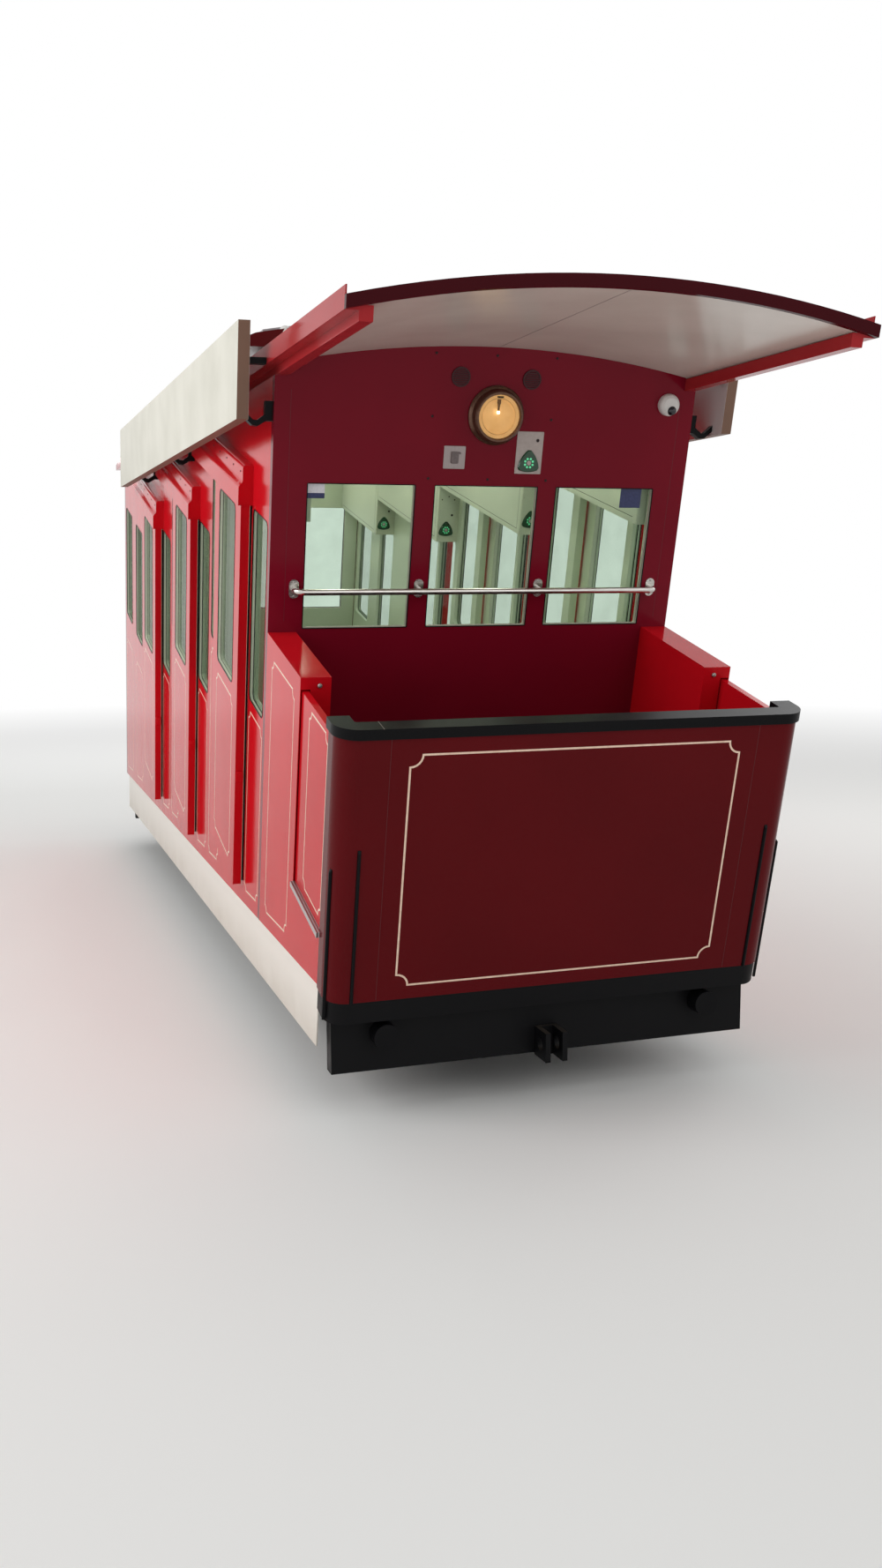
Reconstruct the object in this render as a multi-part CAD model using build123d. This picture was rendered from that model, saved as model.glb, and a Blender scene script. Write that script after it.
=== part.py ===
from build123d import *
import math
import os

os.makedirs("parts", exist_ok=True)

# Funicular car with stepped sliding doors, a canopied open platform and arched roof.
# Plumb frame used for the body: X across the car (positive to the right seen from
# uphill), Y horizontal and downhill from the face of the front parapet, Z plumb up from
# the plane of the rail tops under that face. Millimetres.
# Track frame used for the running gear: the plumb frame turned about X until the rails
# are level: T along the rails, N square to them. Every piece is saved in the track frame.

# Driving dimensions
gradient = 0.25             # fall of the track, and of every line of the body along it
body_width = 2200.0         # over the side walls
body_length = 7750.0        # parapet face to the downhill wall, measured level
platform_depth = 1468.0     # parapet face to the uphill cabin wall
bay_pitch = 1660.0          # one door bay to the next, measured level
first_door_lead = 464.0     # cabin wall to the uphill edge of the first door leaf
door_count = 3
wall = 50.0                 # side and end walls, inner lining included
flange_depth = 25.0         # wheel flanges below the rail tops

slope_deg = math.degrees(math.atan(gradient))
cos_t = math.cos(math.radians(slope_deg))
sin_t = math.sin(math.radians(slope_deg))
half = body_width / 2
inner = half - wall
bay_drop = gradient * bay_pitch
first_door_y = platform_depth + first_door_lead

# Heights over the rail plane of the lines that run with the track, measured plumb
skirt_bottom_h = 310.0
red_bottom_h = 637.0
frame_top_h = 600.0
wall_top_h = 3490.0
beam_rise = 40.0            # eaves beam on the side wall, up to the gutter
beam_width = 56.0
gutter_depth = 55.0
soffit_lift = 60.0          # soffit at the eaves, above the side wall
soffit_rise = 112.0
roof_shell = 50.0
gutter_bottom_h = wall_top_h + beam_rise
gutter_top_h = gutter_bottom_h + gutter_depth
soffit_side_h = wall_top_h + soffit_lift
soffit_crown_h = soffit_side_h + soffit_rise

# Plumb heights at the platform and in the first bay; each later bay lies one drop lower
platform_floor = 830.0
bay_floor = 268.0
parapet_foot = 579.0
parapet_top = 1829.0
rail_height = 48.0


def track_z(h, y):
    """Plumb height at Y of a line that runs with the track at h over the rails."""
    return h - gradient * y


def block(x0, x1, y0, y1, z0, z1):
    """A square-edged block between two corners."""
    return Pos((x0 + x1) / 2, (y0 + y1) / 2, (z0 + z1) / 2) * Box(x1 - x0, y1 - y0, z1 - z0)


def polygon_x(points, x0, x1):
    """A side-view outline of (y, z) points, as a plate from x0 to x1."""
    face = Face(Wire.make_polygon([(x0, y, z) for y, z in points]))
    return Solid.extrude(face, Vector(x1 - x0, 0, 0))


def along_track(face, y0, y1):
    """An upright profile in X and Z, carried down the slope from y0 to y1."""
    start = face.moved(Location((0, y0, -gradient * y0)))
    return Solid.extrude(start, Vector(0, y1 - y0, -gradient * (y1 - y0)))


def profile(points):
    """An upright face in X and Z from (x, z) corners."""
    return Face(Wire.make_polygon([(x, 0, z) for x, z in points]))


def window_x(x0, x1, y, z, width, height, radius):
    """A round-cornered cutter or pane through a side wall, centred at (y, z)."""
    sketch = Plane.YZ.offset(x0) * Pos(y, z) * RectangleRounded(width, height, radius)
    return extrude(sketch, amount=x1 - x0)


def window_y(x, z, y0, y1, width, height, radius):
    """A round-cornered cutter or pane through an end wall, centred at (x, z)."""
    sketch = Plane.XZ.offset(-y0) * Pos(x, z) * RectangleRounded(width, height, radius)
    return extrude(sketch, amount=-(y1 - y0))


def mirrored(shape):
    """The same piece on the other side of the car."""
    return mirror(shape, about=Plane.YZ)


def group(solids):
    """Like pieces that share a node."""
    return Compound(children=list(solids))


def both_sides(shape):
    """A piece and its mirror image, as one node."""
    return group((shape, mirrored(shape)))


# The part stands with its lowest flange on Z = 0 and its box centred on Y = 0
canopy_y = 40.0
fascia_thickness = 25.0
canopy_tip_y = canopy_y - fascia_thickness
end_foot = track_z(red_bottom_h, body_length - wall / 2)
canopy_tip_z = track_z(soffit_crown_h + roof_shell, canopy_tip_y)
uphill_tip = canopy_tip_y * cos_t - canopy_tip_z * sin_t
downhill_tip = body_length * cos_t - end_foot * sin_t
centre_t = (uphill_tip + downhill_tip) / 2


def save_track(name, shape):
    """Write a piece that was drawn in the track frame."""
    export_step(shape.moved(Location((0, -centre_t, flange_depth))), f"parts/{name}.step")


def save(name, shape):
    """Write a piece that was drawn in the plumb frame."""
    save_track(name, shape.rotate(Axis.X, slope_deg))


# Arched roof: a shell between two concentric arcs that also forms the canopy soffit
roof_end_y = body_length + 210.0
roof_half = inner + 10.0
soffit_radius = (roof_half**2 + soffit_rise**2) / (2 * soffit_rise)
arc_centre_h = soffit_crown_h - soffit_radius


def arc_h(x, offset=0.0):
    """Height over the rails of the soffit arc, or of one concentric with it."""
    return arc_centre_h + math.sqrt((soffit_radius + offset) ** 2 - x**2)


def arched_face(low, high, half_width):
    """Upright face between two arcs concentric with the soffit."""
    low_side = arc_h(half_width, low)
    high_side = arc_h(half_width, high)
    lower = ThreePointArc(
        (-half_width, 0, low_side), (0, 0, soffit_crown_h + low), (half_width, 0, low_side)
    )
    upper = ThreePointArc(
        (half_width, 0, high_side), (0, 0, soffit_crown_h + high), (-half_width, 0, high_side)
    )
    right = Edge.make_line((half_width, 0, low_side), (half_width, 0, high_side))
    left = Edge.make_line((-half_width, 0, high_side), (-half_width, 0, low_side))
    return Face(Wire([lower.edge(), right, upper.edge(), left]))


roof = along_track(arched_face(0, roof_shell, roof_half), canopy_y, roof_end_y)
save("roof", roof)

# Arched fascia boards close the roof at both ends and cover the gutter ends
fascia_half = half + 50.0
fascia_face = arched_face(0, roof_shell, fascia_half)
fascia_starts = (canopy_y - fascia_thickness, roof_end_y)
save("fascias", group(along_track(fascia_face, y, y + fascia_thickness) for y in fascia_starts))

# Box gutters along both eaves, with the beam inside them that sits on the side wall
beam_outer = half - 8
beam_inner = beam_outer - beam_width
beam_top_h = soffit_side_h - 1
gutter_profile = profile(
    (
        (beam_inner, wall_top_h),
        (beam_outer, wall_top_h),
        (beam_outer, gutter_bottom_h),
        (fascia_half, gutter_bottom_h),
        (fascia_half, gutter_top_h),
        (roof_half, gutter_top_h),
        (roof_half, beam_top_h),
        (beam_inner, beam_top_h),
    )
)
gutter = along_track(gutter_profile, canopy_y, roof_end_y)
# Upright strip along the gutter's outer edge
upstand_height = 38.0
upstand_sheet = 6.0
upstand_inset = 6.0
upstand_lead = 17.0         # from the fascia to the strip's end
upstand_outer = fascia_half - upstand_inset
upstand_profile = profile(
    (
        (upstand_outer - upstand_sheet, gutter_top_h),
        (upstand_outer, gutter_top_h),
        (upstand_outer, gutter_top_h + upstand_height),
        (upstand_outer - upstand_sheet, gutter_top_h + upstand_height),
    )
)
gutter += along_track(upstand_profile, canopy_y + upstand_lead, roof_end_y - upstand_lead)
save("gutters", both_sides(gutter))

# Side walls: one plate each, between the end walls, with door openings and windows
leaf_width = 765.0
leaf_thickness = 48.0
leaf_gap = 12.0
leaf_overlap = 40.0
header_height = 205.0
header_length = 1540.0
header_start = first_door_y - 8
header_end_z = track_z(wall_top_h, header_start + header_length) - 1 - header_height
header_clear = header_end_z - bay_floor     # leaf foot to the underside of its header box
leaf_height = header_clear + 75
door_open_height = header_clear - 70
window_radius = 40.0
end_window_radius = 8.0
wall_end_y = body_length - wall
wall_start_y = platform_depth + wall

# Windows of the side wall: centre Y, width, bay whose floor they stand over, head above
# that floor, height. The last two share the wall between the last door and the end.
pane_head = header_clear - 6
pane_height = 1025.0
last_door_y = first_door_y + (door_count - 1) * bay_pitch + leaf_width
last_space = wall_end_y - last_door_y
end_pane_head = header_clear + 103
end_pane_height = 965.0
side_windows = (
    # y, width, bay, head, height
    (platform_depth + 247, 366, 0, pane_head, pane_height),
    (first_door_y + 1008, 366, 0, pane_head, pane_height),
    (first_door_y + 1468, 372, 1, pane_head, pane_height),
    (first_door_y + bay_pitch + 1008, 366, 1, pane_head, pane_height),
    (first_door_y + bay_pitch + 1468, 372, 2, pane_head, pane_height),
    (last_door_y + 0.418 * last_space, 0.25 * last_space, 3, end_pane_head, end_pane_height),
    (last_door_y + 0.834 * last_space, 0.255 * last_space, 3, end_pane_head, end_pane_height),
)

side_outline = (
    (wall_start_y, track_z(red_bottom_h, wall_start_y)),
    (wall_end_y, track_z(red_bottom_h, wall_end_y)),
    (wall_end_y, track_z(wall_top_h, wall_end_y)),
    (wall_start_y, track_z(wall_top_h, wall_start_y)),
)
side_wall = polygon_x(side_outline, inner, half)
for y, width, bay, head, height in side_windows:
    z_mid = bay_floor - bay * bay_drop + head - height / 2
    side_wall -= window_x(inner - 1, half + 1, y, z_mid, width, height, window_radius)
for bay in range(door_count):
    y0 = first_door_y + bay * bay_pitch + leaf_overlap
    foot = bay_floor - bay * bay_drop
    opening = block(
        inner - 1, half + 1, y0, y0 + leaf_width - 2 * leaf_overlap, foot, foot + door_open_height
    )
    side_wall -= opening
save("side_walls", both_sides(side_wall))

# Window panes, set in the middle of the wall
pane = 8.0
pane_fit = 0.2
side_panes = []
for y, width, bay, head, height in side_windows:
    x0 = (half + inner) / 2 - pane / 2
    z_mid = bay_floor - bay * bay_drop + head - height / 2
    size = (width - 2 * pane_fit, height - 2 * pane_fit)
    side_panes.append(window_x(x0, x0 + pane, y, z_mid, *size, window_radius))
side_panes += [mirrored(item) for item in side_panes]
save("side_glass", group(side_panes))

# End walls with an arched top under the roof and three windows each
end_windows = (
    # x, width
    (-651, 553),
    (0, 556),
    (651, 553),
)

def arched_sheet(low, half_width):
    """Upright face from a level line up to the soffit's arc."""
    high = arc_h(half_width)
    top = ThreePointArc((half_width, 0, high), (0, 0, soffit_crown_h), (-half_width, 0, high))
    sides = Polyline(
        (-half_width, 0, high), (-half_width, 0, low), (half_width, 0, low), (half_width, 0, high)
    )
    return Face(Wire([*sides.edges(), top.edge()]))


def end_wall(y0, sill, head):
    """An end wall from y0, and the panes in it."""
    sheet = along_track(arched_sheet(red_bottom_h - wall, inner), y0, y0 + wall)
    cheek = profile(
        ((inner, red_bottom_h), (half, red_bottom_h), (half, wall_top_h), (inner, wall_top_h))
    )
    foot_z = track_z(red_bottom_h, y0 + wall / 2)
    foot = block(-half, half, y0 - 5, y0 + wall + 5, foot_z - 3 * wall, foot_z)
    sheet = sheet + along_track(cheek, y0, y0 + wall)
    sheet = sheet + mirrored(along_track(cheek, y0, y0 + wall))
    sheet = sheet - foot
    corner = profile(
        (
            (beam_inner, wall_top_h),
            (half, wall_top_h),
            (half, soffit_crown_h),
            (beam_inner, soffit_crown_h),
        )
    )
    notch = along_track(corner, y0 - 1, y0 + wall + 1)
    sheet = sheet - notch - mirrored(notch)
    panes = []
    for x, width in end_windows:
        z = (sill + head) / 2
        sheet -= window_y(x, z, y0 - 1, y0 + wall + 1, width, head - sill, end_window_radius)
        y_pane = y0 + wall / 2 - pane / 2
        size = (width - 2 * pane_fit, head - sill - 2 * pane_fit)
        panes.append(window_y(x, z, y_pane, y_pane + pane, *size, end_window_radius))
    return sheet, panes


end_panes = []
uphill_head = track_z(wall_top_h, platform_depth) - 501
downhill_head = bay_floor - door_count * bay_drop + end_pane_head
for name, y0, head, height in (
    ("uphill", platform_depth, uphill_head, 733),
    ("downhill", wall_end_y, downhill_head, end_pane_height),
):
    sheet, panes = end_wall(y0, head - height, head)
    save(f"end_wall_{name}", sheet)
    end_panes += panes
save("end_glass", group(end_panes))

# Header boxes over the doors: a shell with an ogee face, open below and to the wall
header_depth = 76.0
header_neck = 55.0
header_sheet = 4.0


def header_face(shrink):
    """Ogee outline of the header box, drawn in by the sheet's thickness."""
    deep = header_depth - shrink
    neck = header_neck - shrink
    top = header_height - shrink
    corner = 18.0 - shrink
    points = (
        Edge.make_line((0, 0, 0), (deep, 0, 0)),
        Edge.make_line((deep, 0, 0), (deep, 0, 88)),
        Edge.make_spline([(deep, 0, 88), (neck, 0, 128)], tangents=[(0, 0, 1), (0, 0, 1)]),
        Edge.make_line((neck, 0, 128), (neck, 0, top - corner)),
        Edge.make_three_point_arc(
            (neck, 0, top - corner),
            (neck - corner * (1 - math.sqrt(0.5)), 0, top - corner * (1 - math.sqrt(0.5))),
            (neck - corner, 0, top),
        ),
        Edge.make_line((neck - corner, 0, top), (0, 0, top)),
        Edge.make_line((0, 0, top), (0, 0, 0)),
    )
    return Face(Wire(points))


header = Solid.extrude(header_face(0), Vector(0, header_length, 0))
hollow = Solid.extrude(header_face(header_sheet), Vector(0, header_length - 2 * header_sheet, 0))
header -= hollow.moved(Location((0, header_sheet, 0)))
# Runner plate on the wall side, which the leaf's rollers stand on
runner_width = 24.0
runner_low = 125.0
runner_sheet = 6.0
header += block(0, runner_width, 0, header_length, runner_low, runner_low + runner_sheet)

# Door leaves hang in the headers, outside the wall, and slide downhill
glass_foot = 1142.0
glass_head = header_clear - 25
glass_width = 475.0
leaf_x0 = half + leaf_gap
leaf_x1 = leaf_x0 + leaf_thickness

# Two hangers on each leaf: a plate with a roller that stands on the runner
roller_radius = 15.0
roller_run = 0.3
roller_z = header_clear + runner_low + runner_sheet + roller_run + roller_radius
roller_x0 = half + 5
hanger_x0 = half + runner_width + 3
hanger_x1 = hanger_x0 + 8
hanger_half = 30.0


def hanger(y, foot):
    """Hanger plate and roller at Y on a leaf whose foot is at the given height."""
    plate = block(
        hanger_x0, hanger_x1, y - hanger_half, y + hanger_half,
        foot + leaf_height, foot + roller_z + 10,
    )
    roller = Pos((roller_x0 + hanger_x0) / 2, y, foot + roller_z) * Rot(0, 90, 0) * Cylinder(
        roller_radius, hanger_x0 - roller_x0
    )
    return plate + roller


headers = []
for bay in range(door_count):
    number = bay + 1
    y0 = first_door_y + bay * bay_pitch
    foot = bay_floor - bay * bay_drop
    box = header.moved(Location((half, header_start + bay * bay_pitch, foot + header_clear)))
    headers += [box, mirrored(box)]
    y_mid = y0 + leaf_width / 2
    z_mid = foot + (glass_foot + glass_head) / 2
    leaf = block(leaf_x0, leaf_x1, y0, y0 + leaf_width, foot, foot + leaf_height)
    leaf -= window_x(
        leaf_x0 - 1,
        leaf_x1 + 1,
        y_mid,
        z_mid,
        glass_width,
        glass_head - glass_foot,
        window_radius,
    )
    leaf += hanger(y0 + 120, foot) + hanger(y0 + leaf_width - 120, foot)
    x_pane = (leaf_x0 + leaf_x1) / 2 - pane / 2
    glass = window_x(
        x_pane,
        x_pane + pane,
        y_mid,
        z_mid,
        glass_width - 2 * pane_fit,
        glass_head - glass_foot - 2 * pane_fit,
        window_radius,
    )
    save(f"door_right_{number}", leaf)
    save(f"door_left_{number}", mirrored(leaf))
    save(f"door_glass_right_{number}", glass)
    save(f"door_glass_left_{number}", mirrored(glass))
save("header_boxes", group(headers))

# Stepped cabin floor: treads and risers in one folded plate between the walls
floor_sheet = 30.0
step_before = 130.0
step_after = 200.0
floor_start_y = platform_depth + wall
steps = [(floor_start_y, bay_floor)]
for bay in range(1, door_count + 1):
    y0 = floor_start_y + bay * bay_pitch
    steps.append((y0 - step_before, bay_floor - (bay - 1) * bay_drop))
    steps.append((y0 - step_before, bay_floor - (bay - 0.5) * bay_drop))
    steps.append((y0 + step_after, bay_floor - (bay - 0.5) * bay_drop))
    steps.append((y0 + step_after, bay_floor - bay * bay_drop))
steps.append((wall_end_y, bay_floor - door_count * bay_drop))
under = [(y - floor_sheet, z - floor_sheet) for y, z in steps]
under[0] = (floor_start_y, under[0][1])
under[-1] = (wall_end_y, under[-1][1])
save("cabin_floor", polygon_x(steps + under[::-1], -inner, inner))

# Front parapet of the platform: a curved front with two short returns
corner_radius = 100.0
parapet_sheet = 40.0
return_length = 175.0
ring_length = 600.0


def parapet_ring(outset, depth, z0, height):
    """The parapet's plan, open to the cabin, as a wall of the given depth."""
    outer = half + outset
    radius = corner_radius + outset
    middle = ring_length / 2 - outset
    solid = Pos(0, middle, 0) * RectangleRounded(2 * outer, ring_length, radius)
    core = Pos(0, middle + depth, 0) * RectangleRounded(
        2 * (outer - depth), ring_length, max(radius - depth, 1)
    )
    margin = half / 4
    keep = Pos(0, (return_length - margin) / 2, 0) * Rectangle(3 * half, return_length + margin)
    ring = (solid - core) & keep
    return Pos(0, 0, z0) * extrude(ring, amount=height)


parapet = parapet_ring(0, parapet_sheet, parapet_foot, parapet_top - parapet_foot)
save("parapet", parapet)
parapet_rail = parapet_ring(12, 100, parapet_top, rail_height)
save("parapet_rail", parapet_rail)

# Dark valance under the parapet
valance_drop = 110.0
valance = parapet_ring(-6, parapet_sheet - 6, parapet_foot - valance_drop, valance_drop)
save("front_valance", valance)


# Gate pockets: thick low walls beside the platform that take the sliding gate leaves
pocket_start = 719.0
pocket_thickness = 145.0
pocket_top = 1874.0
gate_thickness = 32.0
gate_inset = 10.0
gate_top = 1808.0
gate_side_clear = 6.0
pocket_outline = (
    (pocket_start, track_z(red_bottom_h, pocket_start)),
    (platform_depth, track_z(red_bottom_h, platform_depth)),
    (platform_depth, pocket_top),
    (pocket_start, pocket_top),
)
pocket = polygon_x(pocket_outline, half - pocket_thickness, half)
gate_x1 = half - gate_inset
gate_x0 = gate_x1 - gate_thickness
sill_height = 25.0
gate_run = 0.3
gate_foot = platform_floor + sill_height + gate_run
pocket -= block(
    gate_x0 - gate_side_clear,
    gate_x1 + gate_side_clear,
    pocket_start - 1,
    platform_depth - 12,
    gate_foot - 7,
    gate_top + 8,
)
side_foot_outline = (
    (return_length, track_z(red_bottom_h, return_length)),
    (pocket_start, track_z(red_bottom_h, pocket_start)),
    (pocket_start, platform_floor),
    (return_length, platform_floor),
)
side_foot = polygon_x(side_foot_outline, inner, half)
threshold = block(
    half - 70, half + 14, return_length, pocket_start, platform_floor, platform_floor + sill_height
)
gate_end_gap = 6.0
gate_start = return_length + gate_end_gap
gate_length = pocket_start + 60 - gate_start
gate = block(gate_x0, gate_x1, gate_start, gate_start + gate_length, gate_foot, gate_top)
save("gate_right", gate)
save("gate_left", mirrored(gate))
save("gate_pockets", both_sides(pocket))
save("platform_sides", both_sides(side_foot))
save("gate_thresholds", both_sides(threshold))

# Platform floor: a plate inside the parapet, narrower between the gate pockets
floor_z0 = platform_floor - floor_sheet
parapet_inner = half - parapet_sheet
front_plan = Pos(0, ring_length / 2 + parapet_sheet, 0) * RectangleRounded(
    2 * parapet_inner, ring_length, corner_radius - parapet_sheet
)
platform = Pos(0, 0, floor_z0) * extrude(front_plan, amount=floor_sheet)
platform &= block(-half, half, 0, return_length, floor_z0, platform_floor)
platform += block(-inner, inner, return_length, pocket_start, floor_z0, platform_floor)
pocket_inner = half - pocket_thickness
platform += block(
    -pocket_inner, pocket_inner, pocket_start, platform_depth, floor_z0, platform_floor
)
save("platform_floor", platform)

# Sign boards stand off the gutters on two brackets each
sign_start = platform_depth - 78.0
sign_length = 4910.0
sign_end = sign_start + sign_length
sign_inner = fascia_half + 87.0
sign_outer = sign_inner + 56.0
sign_height = 443.0
sign_top_h = gutter_top_h + 130.0
sign_bottom_h = sign_top_h - sign_height
bracket_inset = 60.0
bracket_half = 20.0
bracket_rise = 30.0
sign_face = profile(
    (
        (sign_inner, sign_bottom_h),
        (sign_outer, sign_bottom_h),
        (sign_outer, sign_top_h),
        (sign_inner, sign_top_h),
    )
)
sign = along_track(sign_face, sign_start, sign_end)
gutter_bracket = profile(
    (
        (fascia_half, gutter_bottom_h),
        (sign_inner, gutter_bottom_h),
        (sign_inner, gutter_bottom_h + bracket_rise),
        (fascia_half, gutter_bottom_h + bracket_rise),
    )
)
# Cast arm under it: a block on the side wall, and a hook that rises to the sign's lower edge
arm_foot_h = sign_bottom_h + 8
hook_x = (half + 38 + sign_inner) / 2
cast_arm = profile(
    (
        (half, arm_foot_h),
        (half + 30, arm_foot_h),
        (hook_x - 16, arm_foot_h - 26),
        (hook_x + 12, arm_foot_h - 22),
        (sign_inner, arm_foot_h + 12),
        (sign_inner, arm_foot_h + 44),
        (hook_x + 8, arm_foot_h + 4),
        (hook_x - 12, arm_foot_h + 2),
        (half + 38, arm_foot_h + 30),
        (half + 38, arm_foot_h + 92),
        (half, arm_foot_h + 92),
    )
)
arm_lead = 120.0
arm_after_header = 260.0
bracket_places = (
    # face, y
    (gutter_bracket, sign_start + bracket_inset),
    (gutter_bracket, (sign_start + sign_end) / 2),
    (gutter_bracket, sign_end - bracket_inset),
    (cast_arm, sign_start + arm_lead),
    (cast_arm, header_start + bay_pitch + arm_after_header),
    (cast_arm, header_start + 2 * bay_pitch + arm_after_header),
)
brackets = [
    along_track(face, y - bracket_half, y + bracket_half) for face, y in bracket_places
]
brackets += [mirrored(item) for item in brackets]
save("sign_brackets", group(brackets))
save("signs", both_sides(sign))

# Grey skirts hang below the red walls on both sides
skirt_sheet = 6.0
skirt_inset = 10.0
skirt_face = profile(
    (
        (half - skirt_inset - skirt_sheet, skirt_bottom_h),
        (half - skirt_inset, skirt_bottom_h),
        (half - skirt_inset, red_bottom_h),
        (half - skirt_inset - skirt_sheet, red_bottom_h),
    )
)
skirt_end = wall_end_y - 60.0
skirt = along_track(skirt_face, return_length, skirt_end)
save("skirts", both_sides(skirt))

# Underframe in the track frame: two channels, cross members and headstocks
frame_top = frame_top_h * cos_t
sill_depth = 230.0
sill_web_x = 790.0
sill_flange = 80.0
sill_plate = 14.0
frame_bottom = frame_top - sill_depth
frame_t0 = -20.0
frame_t1 = downhill_tip - 120.0
channel = block(sill_web_x - sill_plate, sill_web_x, frame_t0, frame_t1, frame_bottom, frame_top)
for n0 in (frame_bottom, frame_top - sill_plate):
    channel += block(
        sill_web_x - sill_flange, sill_web_x, frame_t0, frame_t1, n0, n0 + sill_plate
    )
underframe = channel + mirrored(channel)
uphill_axle_t = 1500.0
wheelbase = body_length - 2950.0
downhill_axle_t = uphill_axle_t + wheelbase
member_offset = 650.0       # a cross member stands this far before and after each axle
member_width = 80.0
cross_members = (
    uphill_axle_t - member_offset,
    uphill_axle_t + member_offset,
    (uphill_axle_t + downhill_axle_t) / 2,
    downhill_axle_t - member_offset,
    downhill_axle_t + member_offset,
)
for t in cross_members:
    underframe += block(-sill_web_x, sill_web_x, t, t + member_width, frame_bottom, frame_top)
# Outriggers on the cross members carry the side walls
outrigger_end = half - skirt_inset - skirt_sheet - 2
outrigger_depth = 90.0
outrigger_top = red_bottom_h * cos_t
for t in cross_members:
    for x0, x1 in ((-outrigger_end, -sill_web_x), (sill_web_x, outrigger_end)):
        underframe += block(
            x0, x1, t, t + member_width, outrigger_top - outrigger_depth, outrigger_top
        )
headstock_bottom = 200.0
headstock = 80.0
for t in (frame_t0, frame_t1 - headstock):
    underframe += block(-inner, inner, t, t + headstock, headstock_bottom, frame_top)
save_track("underframe", underframe)

# Wheelsets: a double-flanged wheel on the left, a wide plain roller on the right
rail_centre = 497.0
tread_radius = 280.0
flange_radius = tread_radius + flange_depth
tread_width = 72.0
flange_width = 24.0
roller_width = 200.0
axle_radius = 60.0
journal_radius = 45.0
journal_end = 770.0
hub_radius = 95.0
axle_n = tread_radius
axle_outline = (
    (0, -journal_end),
    (journal_radius, -journal_end),
    (journal_radius, -rail_centre - 150),
    (axle_radius, -rail_centre - 150),
    (axle_radius, rail_centre + 150),
    (journal_radius, rail_centre + 150),
    (journal_radius, journal_end),
    (0, journal_end),
)
flanged_outline = (
    (axle_radius, -80),
    (hub_radius, -80),
    (hub_radius, -24),
    (tread_radius - 50, -24),
    (tread_radius - 50, -tread_width / 2 - flange_width),
    (flange_radius, -tread_width / 2 - flange_width + 8),
    (flange_radius, -tread_width / 2 - 8),
    (tread_radius, -tread_width / 2),
    (tread_radius, tread_width / 2),
    (flange_radius, tread_width / 2 + 8),
    (flange_radius, tread_width / 2 + flange_width - 8),
    (tread_radius - 50, tread_width / 2 + flange_width),
    (tread_radius - 50, 24),
    (hub_radius, 24),
    (hub_radius, 80),
    (axle_radius, 80),
)
roller_outline = (
    (axle_radius, -90),
    (hub_radius, -90),
    (hub_radius, -24),
    (tread_radius - 40, -24),
    (tread_radius - 40, -roller_width / 2),
    (tread_radius, -roller_width / 2 + 6),
    (tread_radius, roller_width / 2 - 6),
    (tread_radius - 40, roller_width / 2),
    (tread_radius - 40, 24),
    (hub_radius, 24),
    (hub_radius, 90),
    (axle_radius, 90),
)


def turned(outline, x):
    """A body of revolution about the axle from (radius, x) corners."""
    face = Face(Wire.make_polygon([(x + along, 0, radius) for radius, along in outline]))
    return revolve(face, axis=Axis((0, 0, 0), (1, 0, 0)))


wheelset = (
    turned(axle_outline, 0)
    + turned(flanged_outline, -rail_centre)
    + turned(roller_outline, rail_centre)
)
box_size = 190.0
box_inner = 660.0
box_outer = 776.0
journal_fit = 0.05
axle_box = block(
    box_inner, box_outer, -box_size / 2, box_size / 2, -box_size / 2, frame_bottom - axle_n
)
axle_box -= Pos(box_outer, 0, 0) * Rot(0, 90, 0) * Cylinder(journal_radius + journal_fit, 400)
axle_boxes = []
for name, t in (("uphill", uphill_axle_t), ("downhill", downhill_axle_t)):
    at = Location((0, t, axle_n))
    save_track(f"wheelset_{name}", wheelset.moved(at))
    axle_boxes += [axle_box.moved(at), mirrored(axle_box).moved(at)]
save_track("axle_boxes", group(axle_boxes))

# Heavy equipment under the floor, as one plain block between the channels
equipment_half = sill_web_x - sill_flange
equipment_length = 850.0
equipment_end = cross_members[2]
equipment = block(
    -equipment_half,
    equipment_half,
    equipment_end - equipment_length,
    equipment_end,
    frame_bottom - 60,
    frame_top - 20,
)
save_track("equipment_block", equipment)

# Rope anchorage: two cheeks with a cross pin hole under the uphill headstock
anchor_cheek = 25.0
anchor_gap = 60.0
pin_radius = 30.0
anchor_pin_t = -90.0
anchor_pin_n = headstock_bottom + 60
anchor = block(
    -anchor_gap / 2 - anchor_cheek,
    anchor_gap / 2 + anchor_cheek,
    anchor_pin_t - 70,
    frame_t0,
    anchor_pin_n - 70,
    anchor_pin_n + 70,
)
anchor -= block(
    -anchor_gap / 2,
    anchor_gap / 2,
    anchor_pin_t - 71,
    frame_t0 - 20,
    anchor_pin_n - 71,
    anchor_pin_n + 71,
)
anchor -= Pos(0, anchor_pin_t, anchor_pin_n) * Rot(0, 90, 0) * Cylinder(pin_radius, 400)
save_track("rope_anchor", anchor)

# Buffers: round rubber-faced discs on both headstocks
buffer_x = 810.0
buffer_n = headstock_bottom + 177
buffer_radius = 60.0
buffer_length = 90.0
buffers = []
for t in (frame_t0 - buffer_length / 2, frame_t1 + buffer_length / 2):
    for x in (-buffer_x, buffer_x):
        centre = Pos(x, t, buffer_n)
        buffers.append(centre * Rot(90, 0, 0) * Cylinder(buffer_radius, buffer_length))
save_track("buffers", group(buffers))

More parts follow.
